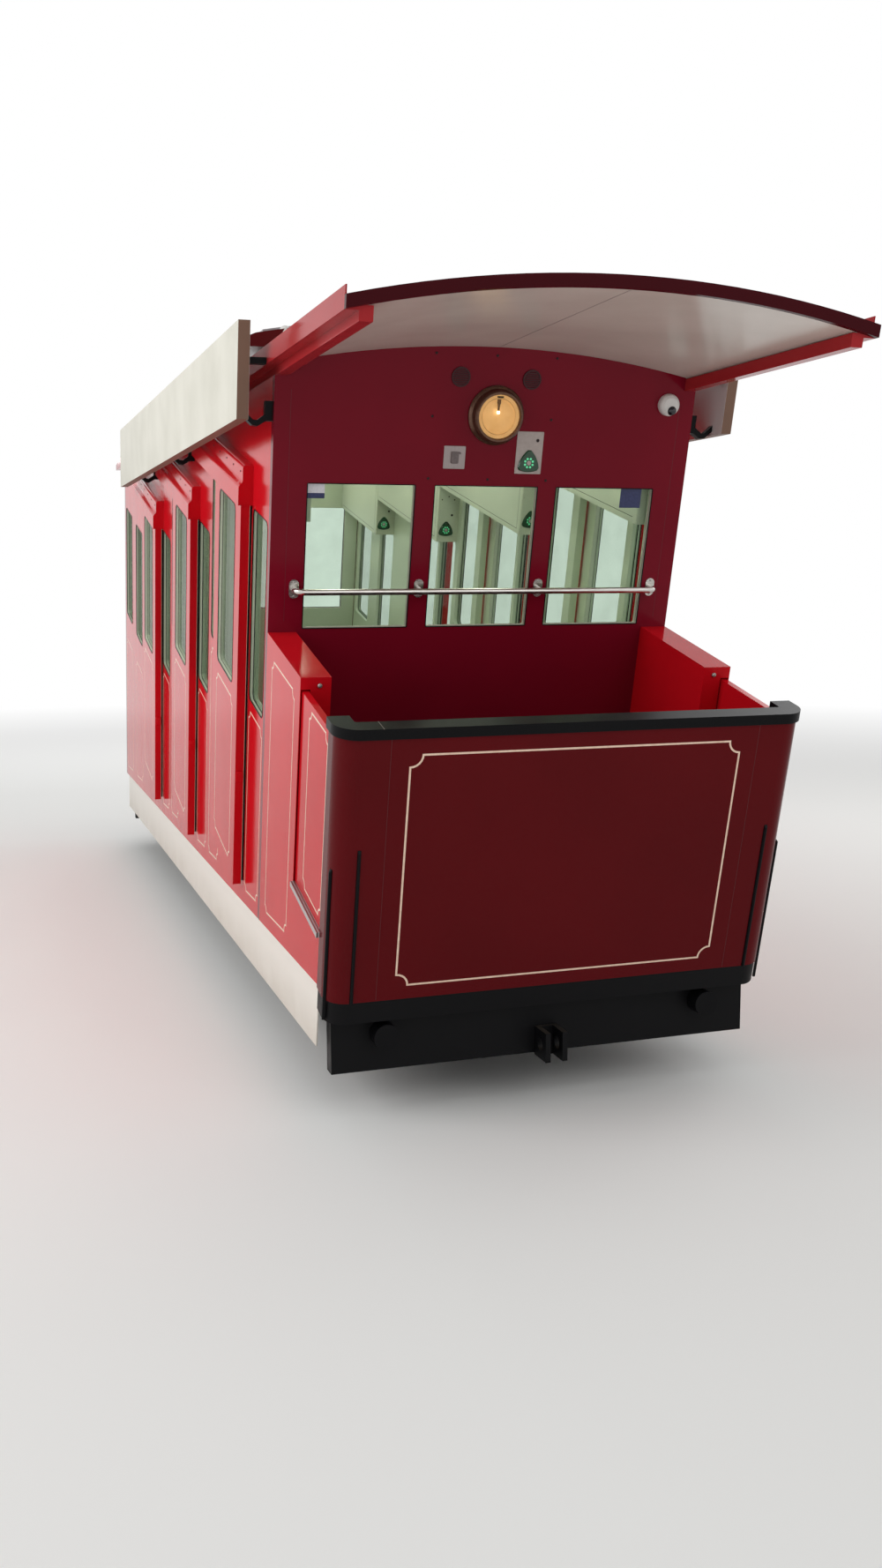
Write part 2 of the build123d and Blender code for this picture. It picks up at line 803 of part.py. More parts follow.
# Lamps: a turned bezel with a hollow bowl and a slightly domed lens
lamp_outline = (
    # radius, distance out from the wall
    (0, 0),
    (145, 0),
    (145, 12),
    (138, 20),
    (132, 24),
    (126, 56),
    (120, 66),
    (111, 66),
    (108, 60),
    (104, 22),
    (70, 12),
    (0, 8),
)
lens_outline = (
    (0, 52),
    (106.6, 52),
    (106.6, 57),
    (85, 61),
    (55, 64),
    (25, 65.6),
    (0, 66),
)


def lathe(outline, scale=1.0):
    """A body of revolution on the uphill side of a wall, from (radius, distance out)."""
    face = Face(Wire.make_polygon([(r * scale, -out * scale, 0) for r, out in outline]))
    return revolve(face, axis=Axis((0, 0, 0), (0, 1, 0)))



headlamp_x = 15.0
headlamp_z = track_z(soffit_crown_h, platform_depth) - 325
tail_lamp_x = 700.0
tail_lamp_scale = 0.62
tail_lamp_z = downhill_head - end_pane_height - 260
lamp_places = (
    # x, y, z, scale, turn about the plumb axis
    (headlamp_x, platform_depth, headlamp_z, 1.0, 0),
    (-tail_lamp_x, body_length, tail_lamp_z, tail_lamp_scale, 180),
    (tail_lamp_x, body_length, tail_lamp_z, tail_lamp_scale, 180),
)
for name, outline in (("headlamps", lamp_outline), ("lamp_lenses", lens_outline)):
    lamps = [
        Pos(x, y, z) * Rot(0, 0, turn) * lathe(outline, scale)
        for x, y, z, scale, turn in lamp_places
    ]
    save(name, group(lamps))

# Loudspeakers over the headlamp: round covers with level slots
speaker_radius = 48.0
speaker_sheet = 7.0
slot_pitch = 9.0
slot_height = 4.0
speaker_z = headlamp_z + 178
speaker = Rot(90, 0, 0) * Cylinder(speaker_radius, speaker_sheet)
for row in range(-4, 5):
    slot_half = math.sqrt((speaker_radius - 6) ** 2 - (row * slot_pitch) ** 2)
    speaker -= Pos(0, 0, row * slot_pitch) * Box(2 * slot_half, 2 * speaker_sheet, slot_height)
speaker_y = platform_depth - speaker_sheet / 2
speakers = [Pos(x, speaker_y, speaker_z) * speaker for x in (-182, 190)]
save("speakers", group(speakers))

# Dome camera high on the uphill wall
camera_outline = (
    (0, 0),
    (55, 0),
    (55, 24),
    (50, 34),
    (38, 42),
    (0, 46),
)
camera = Pos(950, platform_depth, headlamp_z + 82) * lathe(camera_outline)
save("camera_housing", camera)

# Grab rail across the uphill wall: a bent tube with two stays and oval screw flanges
grab_radius = 16.0
grab_out = 72.0
grab_bend = 40.0
grab_half = 975.0
grab_z = uphill_head - 526
stay_x = 327.0
flange_sheet = 6.0
grab_y = platform_depth - grab_out
grab_path = FilletPolyline(
    (-grab_half, platform_depth - 1, grab_z),
    (-grab_half, grab_y, grab_z),
    (grab_half, grab_y, grab_z),
    (grab_half, platform_depth - 1, grab_z),
    radius=grab_bend,
)
grab_start = Plane(origin=(-grab_half, platform_depth - 1, grab_z), z_dir=(0, -1, 0))
grab_rail = sweep(grab_start * Circle(grab_radius), path=grab_path)
for x in (-stay_x, stay_x):
    grab_rail += Pos(x, (platform_depth + grab_y) / 2, grab_z) * Rot(90, 0, 0) * Cylinder(
        10, grab_out
    )
for x in (-grab_half, -stay_x, stay_x, grab_half):
    flange = Plane.XZ.offset(-platform_depth) * Pos(x, grab_z) * SlotOverall(96, 50, rotation=90)
    grab_rail += extrude(flange, amount=flange_sheet)
grab_rail -= block(-half, half, platform_depth, body_length, grab_z - 100, grab_z + 100)
save("grab_rail", grab_rail)

# Roof unit: a shallow box with an arched top, on two bearers over the first bay
unit_start = platform_depth + 982
unit_end = unit_start + 1400
unit_half = 1055.0
unit_bottom_h = soffit_crown_h + roof_shell + 59
unit_top = 275.0            # top of the unit over the soffit's arc
unit_corner = 55.0
unit_end_h = arc_h(unit_half, unit_top) - 12
unit_arc = ThreePointArc(
    (unit_half - unit_corner, 0, arc_h(unit_half - unit_corner, unit_top)),
    (0, 0, soffit_crown_h + unit_top),
    (unit_corner - unit_half, 0, arc_h(unit_half - unit_corner, unit_top)),
)
unit_sides = Polyline(
    (unit_corner - unit_half, 0, arc_h(unit_half - unit_corner, unit_top)),
    (-unit_half, 0, unit_end_h),
    (-unit_half, 0, unit_bottom_h),
    (unit_half, 0, unit_bottom_h),
    (unit_half, 0, unit_end_h),
    (unit_half - unit_corner, 0, arc_h(unit_half - unit_corner, unit_top)),
)
unit_face = Face(Wire([unit_arc.edge(), *unit_sides.edges()]))
roof_unit = along_track(unit_face, unit_start, unit_end)
bearer_x = 700.0
bearer_half = 30.0
bearer_face = profile(
    (
        (bearer_x - bearer_half, arc_h(bearer_x, roof_shell) - 20),
        (bearer_x + bearer_half, arc_h(bearer_x, roof_shell) - 20),
        (bearer_x + bearer_half, unit_bottom_h),
        (bearer_x - bearer_half, unit_bottom_h),
    )
)
bearer = along_track(bearer_face, unit_start + 40, unit_end - 40) - roof
roof_unit += bearer
roof_unit += mirrored(bearer)
save("roof_unit", roof_unit)
# Its lid, a pale sheet on the arch
lid_half = 960.0
lid_sheet = 14.0
lid_face = arched_face(unit_top, unit_top + lid_sheet, lid_half)
save("roof_unit_lid", along_track(lid_face, unit_start + 30, unit_end - 30))

# Deep covers over the door gear and the side windows inside the cabin, one for each bay and
# one over the last windows. Their feet are level, their tops slope under the eaves, and
# the uphill faces that show at the steps carry signals.
cover_depth = 165.0
cover_lead = 400.0          # uphill face of a cover to the next door leaf's edge
cover_gap = 4.0
covers = []
for bay in range(door_count + 1):
    y0 = max(first_door_y + bay * bay_pitch - cover_lead, wall_start_y)
    y1 = first_door_y + (bay + 1) * bay_pitch - cover_lead - cover_gap
    low = bay_floor - bay * bay_drop + header_clear
    if bay == door_count:
        y1 = wall_end_y
        low += end_pane_head + 6 - header_clear
    outline = ((y0, low), (y1, low), (y1, track_z(wall_top_h, y1)), (y0, track_z(wall_top_h, y0)))
    cover = polygon_x(outline, inner - cover_depth, inner)
    inner_edges = cover.edges().filter_by(Axis.Z).group_by(Axis.X)[0]
    cover = fillet(inner_edges, 12)
    covers += [cover, mirrored(cover)]
save("gear_covers", group(covers))

# Rail brakes: a housing on the cross member and two jaws beside the left rail
brake_start = cross_members[1] + member_width
brake_length = 420.0
brake_low = 160.0
brake_half = 120.0
jaw_gap = 45.0              # rail centre to the jaw
jaw_sheet = 30.0
jaw_foot = -15.0
brake = block(
    -rail_centre - brake_half,
    -rail_centre + brake_half,
    brake_start,
    brake_start + brake_length,
    brake_low,
    frame_top - 40,
)
for x in (-rail_centre - jaw_gap - jaw_sheet, -rail_centre + jaw_gap):
    brake += block(
        x, x + jaw_sheet, brake_start + 60, brake_start + brake_length - 60, jaw_foot, brake_low
    )
save_track("rail_brake", brake)
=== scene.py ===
import math

import bmesh
import bpy
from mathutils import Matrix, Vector


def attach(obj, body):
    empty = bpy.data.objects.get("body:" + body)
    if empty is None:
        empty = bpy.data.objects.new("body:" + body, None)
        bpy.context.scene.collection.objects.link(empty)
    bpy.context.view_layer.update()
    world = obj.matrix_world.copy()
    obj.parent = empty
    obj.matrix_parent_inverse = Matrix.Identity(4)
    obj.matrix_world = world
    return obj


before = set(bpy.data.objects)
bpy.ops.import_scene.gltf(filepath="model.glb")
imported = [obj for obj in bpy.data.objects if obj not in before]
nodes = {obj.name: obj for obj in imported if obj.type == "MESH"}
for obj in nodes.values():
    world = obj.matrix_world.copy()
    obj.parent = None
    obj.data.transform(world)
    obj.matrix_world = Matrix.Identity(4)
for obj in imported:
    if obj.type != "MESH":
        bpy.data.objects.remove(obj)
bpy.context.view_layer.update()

# Camera: stands uphill of the platform and to the left of it, lower than the canopy, and
# looks a little down along the car. The rails are level in the saved frame.
camera_data = bpy.data.cameras.new("camera")
camera_data.lens = 33.276
camera_data.sensor_width = 36.0
camera_data.clip_end = 200.0
camera = bpy.data.objects.new("camera", camera_data)
camera.location = (-2.5604, -9.68348, 2.45036)
camera.rotation_euler = [math.radians(turn) for turn in (82.02323, 0.26305, -18.29743)]
bpy.context.scene.collection.objects.link(camera)
bpy.context.scene.camera = camera

# Studio: a pale floor that runs out to a white surround, a broad soft lamp from the left
# and above, and weaker ones in front, at the right and behind, so that the left side is
# the bright one.
scene = bpy.context.scene
scene.view_settings.view_transform = "Standard"


def hex_colour(text):
    """A hex colour as it looks on a screen, turned to linear light."""
    values = [int(text[i : i + 2], 16) / 255 for i in (1, 3, 5)]
    linear = [v / 12.92 if v <= 0.04045 else ((v + 0.055) / 1.055) ** 2.4 for v in values]
    return (*linear, 1.0)


def new_material(name):
    """An empty node material and its tree."""
    material = bpy.data.materials.new(name)
    material.use_nodes = True
    material.node_tree.nodes.clear()
    return material, material.node_tree


def add(tree, kind, settings=None, **links):
    """Adds a node, with its settings, socket values and links. A socket is named by its label
    in lower case with underscores, or by in_ and its number."""
    node = tree.nodes.new(kind)
    for key, value in (settings or {}).items():
        setattr(node, key, value)
    names = {s.name.lower().replace(" ", "_"): s for s in reversed(node.inputs)}
    for key, value in links.items():
        socket = node.inputs[int(key[3:])] if key.startswith("in_") else names[key]
        if isinstance(value, bpy.types.NodeSocket):
            tree.links.new(value, socket)
        else:
            socket.default_value = value
    return node


def reckon(tree, operation, *values, **settings):
    """Arithmetic on single values, by the name of the operation. Gives the result's socket."""
    settings["operation"] = operation
    inputs = {f"in_{i}": value for i, value in enumerate(values)}
    return add(tree, "ShaderNodeMath", settings, **inputs).outputs[0]


def own_place(tree):
    """The piece's own coordinates, in metres."""
    return add(tree, "ShaderNodeTexCoord").outputs["Object"]


def surface(tree, shader):
    """Links a shader to the material's output."""
    add(tree, "ShaderNodeOutputMaterial", surface=shader.outputs[0])


def principled(tree, **sockets):
    """Makes the material's only shader and links it to the output."""
    surface(tree, add(tree, "ShaderNodeBsdfPrincipled", **sockets))


def bumped(tree, strength, distance, height):
    """A normal bent by a height map whose full height is the distance, in metres."""
    node = add(
        tree, "ShaderNodeBump", strength=strength, distance=distance, height=height
    )
    return node.outputs[0]


def blend(tree, factor, first, second):
    """Mixes two shaders by a factor."""
    shaders = {"in_1": first.outputs[0], "in_2": second.outputs[0]}
    return add(tree, "ShaderNodeMixShader", in_0=factor, **shaders)


def two_tone(tree, factor, first, second):
    """Mixes two colours by a factor and gives the colour socket."""
    node = add(
        tree, "ShaderNodeMix", {"data_type": "RGBA"}, in_0=factor, in_6=first, in_7=second
    )
    return node.outputs[2]


def noise(tree, scale, detail, stretch=None):
    """Noise on the piece's own coordinates. The scale is in ripples per metre."""
    at = own_place(tree)
    if stretch:
        at = add(tree, "ShaderNodeMapping", vector=at, scale=stretch).outputs[0]
    node = add(tree, "ShaderNodeTexNoise", vector=at, scale=scale, detail=detail)
    return node.outputs["Fac"]


def spread(tree, value, low, high, to_low, to_high):
    """Maps a range of values to another, clamped."""
    ends = {"from_min": low, "from_max": high, "to_min": to_low, "to_max": to_high}
    return add(tree, "ShaderNodeMapRange", value=value, **ends).outputs[0]


def mottled(tree, factor, dark, light):
    """A colour that wanders between two near tones, by noise around one half."""
    share = spread(tree, factor, 0.3, 0.7, 0.0, 1.0)
    return two_tone(tree, share, hex_colour(dark), hex_colour(light))


floor_material, tree = new_material("pale studio paper")
paper = add(tree, "ShaderNodeBsdfPrincipled", base_color=hex_colour("#efefed"), roughness=0.9)
white = add(tree, "ShaderNodeEmission", color=(1, 1, 1, 1), strength=1.0)
reach = add(tree, "ShaderNodeVectorMath", {"operation": "LENGTH"}, in_0=own_place(tree))
fade = spread(tree, reach.outputs["Value"], 8.0, 20.0, 0.0, 1.0)
surface(tree, blend(tree, fade, paper, white))
floor_reach = 90.0
floor_mesh = bpy.data.meshes.new("floor")
floor_mesh.from_pydata(
    [(u * floor_reach, v * floor_reach, 0) for u, v in ((-1, -1), (1, -1), (1, 1), (-1, 1))],
    [],
    [(0, 1, 2, 3)],
)
floor_mesh.materials.append(floor_material)
floor = bpy.data.objects.new("floor", floor_mesh)
scene.collection.objects.link(floor)

world = bpy.data.worlds.new("studio")
scene.world = world
world.use_nodes = True
world.node_tree.nodes.clear()
tree = world.node_tree
rays = add(tree, "ShaderNodeLightPath").outputs
through = reckon(tree, "MAXIMUM", rays["Is Camera Ray"], rays["Is Transmission Ray"])
seen = reckon(tree, "MAXIMUM", through, rays["Is Glossy Ray"])
soft = add(tree, "ShaderNodeBackground", color=(1, 1, 1, 1), strength=0.58)
plain = add(tree, "ShaderNodeBackground", color=(1, 1, 1, 1), strength=1.0)
add(tree, "ShaderNodeOutputWorld", surface=blend(tree, seen, soft, plain).outputs[0])

studio_lamps = (
    # name, place, aimed at, width, height, watts
    ("lamp_left", (-9.0, -2.5, 6.0), (-1.0, 0.0, 1.6), 7.0, 5.0, 400.0),
    ("lamp_front", (1.5, -12.0, 6.5), (0.0, -3.0, 1.6), 6.0, 4.0, 90.0),
    ("lamp_right", (8.0, 2.0, 6.0), (1.0, 0.5, 1.5), 6.0, 5.0, 170.0),
    ("lamp_back", (0.0, 12.0, 6.0), (0.0, 4.0, 1.8), 6.0, 4.0, 150.0),
)
for name, at, towards, width, height, watts in studio_lamps:
    lamp_data = bpy.data.lights.new(name, "AREA")
    lamp_data.shape = "RECTANGLE"
    lamp_data.size = width
    lamp_data.size_y = height
    lamp_data.energy = watts
    lamp = bpy.data.objects.new(name, lamp_data)
    lamp.location = at
    lamp.rotation_euler = (Vector(towards) - Vector(at)).to_track_quat("-Z", "Y").to_euler()
    scene.collection.objects.link(lamp)

# Body sheets: welded steel, filled, primed and sprayed with a thick gloss top coat.
# Carmine on every outer face and cream inside the cabin. The uphill faces, the roof unit, the
# downhill wall and the roof edges take darker copies of the carmine as painted shade, and the
# gutters a paler one as painted reflection of the sky. The coat mirrors what is near, and its
# slight orange peel bends those reflections.
fall = 0.25
slope = math.atan(fall)
cos_s = math.cos(slope)
sin_s = math.sin(slope)
row_shift = 3.4738378
flange = 0.025
half = 1.1
wall = 0.05
length = 7.75
cabin_y = 1.468
bay_pitch = 1.66
bay_drop = fall * bay_pitch


def place(x, y, z):
    """A point measured on the upright car, in metres: x across it, y level and downhill from
    the face of the parapet, z plumb over the rails under that face. Gives the row's point."""
    return Vector((x, y * cos_s - z * sin_s - row_shift, y * sin_s + z * cos_s + flange))


def direction(x, y, z):
    """A direction on the upright car, turned into the row's frame."""
    return place(x, y, z) - place(0, 0, 0)


def body_paint(name, outside, inside=None, lining_x=None, lining_y=None, mirror=0.09):
    """Gloss coat outside, and a satin lining where the face lies inside the cabin: nearer
    the middle than lining_x, or between the sides and past lining_y, which is a place along
    the car and the way to the cabin from there."""
    material, tree = new_material(name)
    shade = spread(tree, noise(tree, 1.7, 3.0), 0.3, 0.7, 0.93, 1.05)
    tone = {"in_0": hex_colour(outside)[:3], "scale": shade}
    colour = add(tree, "ShaderNodeVectorMath", {"operation": "SCALE"}, **tone).outputs[0]
    # Orange peel of about 6 mm, on longer waves of the sheet
    waves = noise(tree, 3.2, 1.0)
    relief = reckon(tree, "MULTIPLY_ADD", waves, 14.0, noise(tree, 160.0, 1.0))
    coat = add(
        tree,
        "ShaderNodeBsdfPrincipled",
        base_color=colour,
        roughness=0.12,
        ior=1.45,
        specular_ior_level=mirror,
        normal=bumped(tree, 0.18, 0.0006, relief),
    )
    if inside is None:
        surface(tree, coat)
        return material
    lining = add(
        tree,
        "ShaderNodeBsdfPrincipled",
        base_color=hex_colour(inside),
        roughness=0.38,
        ior=1.5,
        normal=bumped(tree, 0.15, 0.0004, noise(tree, 240.0, 2.0)),
    )
    at = own_place(tree)
    side = add(tree, "ShaderNodeSeparateXYZ", vector=at).outputs["X"]
    across = reckon(tree, "ABSOLUTE", side)
    reach = lining_x if lining_y is None else half - wall - 0.005
    inner = reckon(tree, "LESS_THAN", across, reach)
    if lining_y is not None:
        level = {"in_0": at, "in_1": (0, cos_s, sin_s)}
        along = add(tree, "ShaderNodeVectorMath", {"operation": "DOT_PRODUCT"}, **level)
        edge, way = lining_y
        past = reckon(
            tree,
            "GREATER_THAN" if way > 0 else "LESS_THAN",
            along.outputs["Value"],
            edge - row_shift * cos_s + flange * sin_s,
        )
        inner = reckon(tree, "MULTIPLY", inner, past)
    surface(tree, blend(tree, inner, coat, lining))
    return material


def finish(material, *names):
    """Gives CAD nodes their material."""
    for name in names:
        slots = nodes[name].material_slots
        if not slots:
            nodes[name].data.materials.append(material)
        for slot in slots:
            slot.link = "OBJECT"
            slot.material = material


cream = "#d3dac4"
carmine = "#c4101c"
# The same carmine darkened, as painted shade.
carmine_in_painted_shade = "#5a0a10"
leaf_gap = 0.012
leaf_depth = 0.048
skin = 0.0015
sides = ((-1, "left"), (1, "right"))
side_paint = body_paint(
    "carmine gloss coat on side sheets", carmine, cream, lining_x=half - 0.003
)
finish(side_paint, "side_walls")
open_paint = body_paint("carmine gloss coat", carmine)
finish(open_paint, "header_boxes", "gate_pockets", "platform_sides", "gate_left", "gate_right")
# Gutters: the carmine paler and greyer, as painted reflection of the sky.
gutter_paint = body_paint("bleached carmine coat on gutters", "#a52a2e")
finish(gutter_paint, "gutters")
# The uphill wall's coat is the carmine darkened, as painted shade.
uphill_paint = body_paint(
    "deep carmine gloss coat, cream on its cabin side",
    "#780f22",
    cream,
    lining_y=(cabin_y + 0.004, 1),
    mirror=0.12,
)
finish(uphill_paint, "end_wall_uphill")
# The downhill wall's coat is the carmine in painted shade.
downhill_paint = body_paint(
    "carmine gloss coat, cream on its cabin side",
    carmine_in_painted_shade,
    cream,
    lining_y=(length - 0.004, -1),
    mirror=0.15,
)
finish(downhill_paint, "end_wall_downhill")
# Parapet and roof unit: the carmine in painted shade.
front_paint = body_paint("deep carmine gloss coat", carmine_in_painted_shade, mirror=0.1)
finish(front_paint, "parapet", "roof_unit")
# Fascias: the carmine darker still, as painted shade.
roof_edge_paint = body_paint("deep carmine gloss coat on roof edges", "#3f0810", mirror=0.08)
finish(roof_edge_paint, "fascias")
door_paint = body_paint(
    "carmine gloss coat on door leaves", carmine, cream, lining_x=half + leaf_gap + skin
)
finish(door_paint, *[f"door_{word}_{k}" for side, word in sides for k in (1, 2, 3)])

# Seams of the sheets: three upright joints on each side wall and one on each side of the
# uphill wall, filled and painted over.
def plain_finish(name, grain, dark, light, **sockets):
    """A material of one colour that wanders between two tones. The grain is its noise's
    ripples per metre and detail."""
    material, tree = new_material(name)
    principled(tree, base_color=mottled(tree, noise(tree, *grain), dark, light), **sockets)
    return material


seam_material = plain_finish(
    "dark filler in sheet joints", (60.0, 3.0), "#3a0a0f", "#520d14", roughness=0.45, ior=1.5
)


def on_uphill(y):
    """Maps (u, v, n) to an upright face that looks uphill: across, up, out of it."""
    return lambda u, v, n: place(u, y - n, v)


def on_side(side, x):
    """Maps (u, v, n) to a face that looks sideways, left for -1: along, up, out of it."""
    return lambda u, v, n: place(side * (x + n), u, v)


def bridge(bm, rings):
    """Joins each ring of corners to the next by faces."""
    for low, high in zip(rings, rings[1:]):
        for j in range(len(low)):
            k = (j + 1) % len(low)
            bm.faces.new((low[j], low[k], high[k], high[j]))


def ribbon(bm, path, width, low, high, face, closed=True):
    """Adds a flat band along a path of (u, v) points on a face, with mitred corners. It stands
    from low to high out of the face."""
    count = len(path)
    rings = []
    for i in range(count):
        here = Vector(path[i])
        before = (here - Vector(path[i - 1])).normalized() if closed or i else None
        after = None
        if closed or i < count - 1:
            after = (Vector(path[(i + 1) % count]) - here).normalized()
        before = before or after
        after = after or before
        mean = (before + after).normalized()
        reach = width / 2 / max(0.4, mean.dot(after))
        across = Vector((-mean.y, mean.x)) * reach
        one, other = here + across, here - across
        corners = ((one, low), (one, high), (other, high), (other, low))
        rings.append([bm.verts.new(face(p.x, p.y, n)) for p, n in corners])
    bridge(bm, [*rings, rings[0]] if closed else rings)
    if not closed:
        bm.faces.new(rings[0])
        bm.faces.new(rings[-1][::-1])


def piece(name, bm, material, body="car", smooth=False):
    """Turns a mesh into a piece of the scene that rides on a body."""
    bmesh.ops.recalc_face_normals(bm, faces=bm.faces)
    mesh = bpy.data.meshes.new(name)
    bm.to_mesh(mesh)
    bm.free()
    if smooth:
        mesh.shade_smooth()
    mesh.materials.append(material)
    made = bpy.data.objects.new(name, mesh)
    scene.collection.objects.link(made)
    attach(made, body)
    return made


def seam(bm, path, face):
    """Adds a filled joint, 1.6 mm wide and 0.2 mm proud of its face."""
    ribbon(bm, path, 0.0016, 0.0, 0.0002, face, closed=False)


seams = bmesh.new()
for side, word in sides:
    for y in (4.252, 5.227, 5.867):
        seam(seams, ((y, 0.66 - fall * y), (y, 3.2 - fall * y)), on_side(side, half))
    seam(seams, ((side * 1.02, 1.93), (side * 1.02, 3.06)), on_uphill(cabin_y))
piece("sheet_seams", seams, seam_material)

# Pinstripes: cream lines 9 mm wide, painted by hand with a stripe wheel, each a frame whose
# corners are quarter circles cut inwards. The thick enamel stands a little off the coat.
stripe_material = plain_finish(
    "cream enamel pinstripe", (35.0, 3.0), "#dfbda6", "#efd3bd", roughness=0.3, ior=1.5
)
stripe_width = 0.009
stripe_film = 0.0003


def frame_path(u0, u1, low0, low1, high0, high1, notch, steps=6):
    """A closed path round a frame between two uprights, whose foot and head may slope. Each
    corner is cut in by a quarter circle or so."""
    corners = ((u0, low0), (u1, low1), (u1, high1), (u0, high0))
    path = []
    for i, (u, v) in enumerate(corners):
        before, after = corners[i - 1], corners[(i + 1) % 4]
        start = math.atan2(before[1] - v, before[0] - u)
        turn = math.atan2(after[1] - v, after[0] - u) - start
        turn = (turn + math.pi) % (2 * math.pi) - math.pi
        for k in range(steps + 1):
            angle = start + turn * k / steps
            path.append((u + notch * math.cos(angle), v + notch * math.sin(angle)))
    return path


def stripe(bm, face, u0, u1, low0, low1, high, notch=0.04):
    """Adds a pinstripe frame with a level head."""
    path = frame_path(u0, u1, low0, low1, high, high, notch)
    ribbon(bm, path, stripe_width, 0.0, stripe_film, face)


stripes = bmesh.new()
stripe(stripes, on_uphill(0.0), -0.783, 0.783, 0.649, 0.649, 1.752, notch=0.055)
piece("parapet_stripe", stripes, stripe_material)

# Side stripes: one frame on each gate pocket and one below each window of the side walls.
# Their feet run with the track.
stripe_foot_h = 0.725
side_frames = (
    # first y, last y, height of the top line; the first is the gate pocket's
    (0.832, 1.332, 1.772),
    (1.54, 1.89, 1.324),
    (2.77, 3.11, 1.324),
    (3.225, 3.575, 0.909),
    (4.43, 4.77, 0.909),
    (4.885, 5.235, 0.494),
    (6.50, 6.94, 0.07),
    (7.20, 7.64, 0.07),
)
stripes = bmesh.new()
for side, word in sides:
    for y0, y1, top in side_frames:
        foot = [stripe_foot_h - fall * y for y in (y0, y1)]
        stripe(stripes, on_side(side, half), y0, y1, *foot, top)
piece("side_stripes", stripes, stripe_material)

# Glazing: toughened soda-lime glass 8 mm thick, faintly green from its iron, in cream
# reveals. A black rubber lip lines every outer edge, and a thin section holds the pane.
def glazing(name, tint, body, polish, index, gain, streaks, film):
    """Clear glass that mirrors toward grazing angles, by the gain at the edge. The streaks
    are its dirt film's noise, and the film tells the noise's range and what it adds."""
    material, tree = new_material(name)
    clear = add(tree, "ShaderNodeBsdfTransparent", color=hex_colour(tint))
    gloss = {"base_color": hex_colour(body), "roughness": polish, "ior": index}
    shine = add(tree, "ShaderNodeBsdfPrincipled", **gloss)
    facing = add(tree, "ShaderNodeLayerWeight", blend=0.5).outputs["Facing"]
    edge_on = reckon(tree, "POWER", facing, 5.0)
    haze = spread(tree, noise(tree, *streaks), *film)
    share = reckon(tree, "MULTIPLY_ADD", edge_on, gain, haze, use_clamp=True)
    surface(tree, blend(tree, share, clear, shine))
    return material


glass_material = glazing(
    "toughened window glass", "#f3f9f4", "#1d2a22", polish=0.02, index=1.52, gain=0.7,
    streaks=(5.0, 4.0), film=(0.35, 0.75, 0.03, 0.07),
)
door_panes = [f"door_glass_{word}_{k}" for side, word in sides for k in (1, 2, 3)]
finish(glass_material, "side_glass", "end_glass", *door_panes)
rubber_material, tree = new_material("black moulded rubber")
pores = noise(tree, 260.0, 3.0)
principled(
    tree,
    base_color=mottled(tree, pores, "#08080a", "#101012"),
    roughness=0.36,
    ior=1.5,
    specular_ior_level=0.1,
    normal=bumped(tree, 0.25, 0.0004, pores),
)


def rounded(u, v, width, height, radius, steps=4):
    """A closed path round a rectangle with round corners, centred at (u, v)."""
    path = []
    for k, (su, sv) in enumerate(((1, 1), (-1, 1), (-1, -1), (1, -1))):
        cu, cv = u + su * (width / 2 - radius), v + sv * (height / 2 - radius)
        for j in range(steps + 1):
            angle = math.radians(90 * (k + j / steps))
            path.append((cu + radius * math.cos(angle), cv + radius * math.sin(angle)))
    return path


seal_width = 0.005
seal_proud = 0.0016
seal_squeeze = 0.0002
side_radius = 0.04
end_radius = 0.008


def seal(bm, u, v, width, height, radius, low, high, face):
    """A section lining an opening, from low to high out of a face."""
    inset = seal_width / 2 - seal_squeeze
    path = rounded(u, v, width - 2 * inset, height - 2 * inset, radius - inset)
    ribbon(bm, path, seal_width, low, high, face)


bay_floor = 0.268
pane_head = bay_floor + 2.144
side_windows = (
    # y, width, head, height
    (1.715, 0.366, pane_head, 1.025),
    (2.94, 0.366, pane_head, 1.025),
    (3.4, 0.372, pane_head - bay_drop, 1.025),
    (4.6, 0.366, pane_head - bay_drop, 1.025),
    (5.06, 0.372, pane_head - 2 * bay_drop, 1.025),
    (6.7205, 0.42075, 1.276, 0.965),
    (7.4206, 0.42917, 1.276, 0.965),
)
seals = bmesh.new()
for side, word in sides:
    face = on_side(side, half)
    for y, width, head, height in side_windows:
        opening = (y, head - height / 2, width, height, side_radius)
        for low, high in ((-0.0215, -0.0185), (-0.003, seal_proud)):
            seal(seals, *opening, low, high, face)
piece("side_window_seals", seals, rubber_material)
pale_rubber = plain_finish(
    "pale grey moulded rubber", (260.0, 3.0), "#a59c92", "#b8b0a6", roughness=0.45, ior=1.5
)
end_windows = ((-0.651, 0.553), (0.0, 0.556), (0.651, 0.553))
end_rows = (
    # middle height, height, uphill face of the wall, front of the lip over that face
    (2.2555, 0.733, cabin_y, 0.001),
    (0.7935, 0.965, length - wall, -0.047),
)
lips, seals = bmesh.new(), bmesh.new()
for x, width in end_windows:
    for z, height, y, lip in end_rows:
        opening = (x, z, width, height, end_radius)
        seal(lips, *opening, lip - 0.004, lip, on_uphill(y))
        seal(seals, *opening, -0.033, -0.017, on_uphill(y))
piece("end_window_lips", lips, rubber_material)
piece("end_window_seals", seals, pale_rubber)

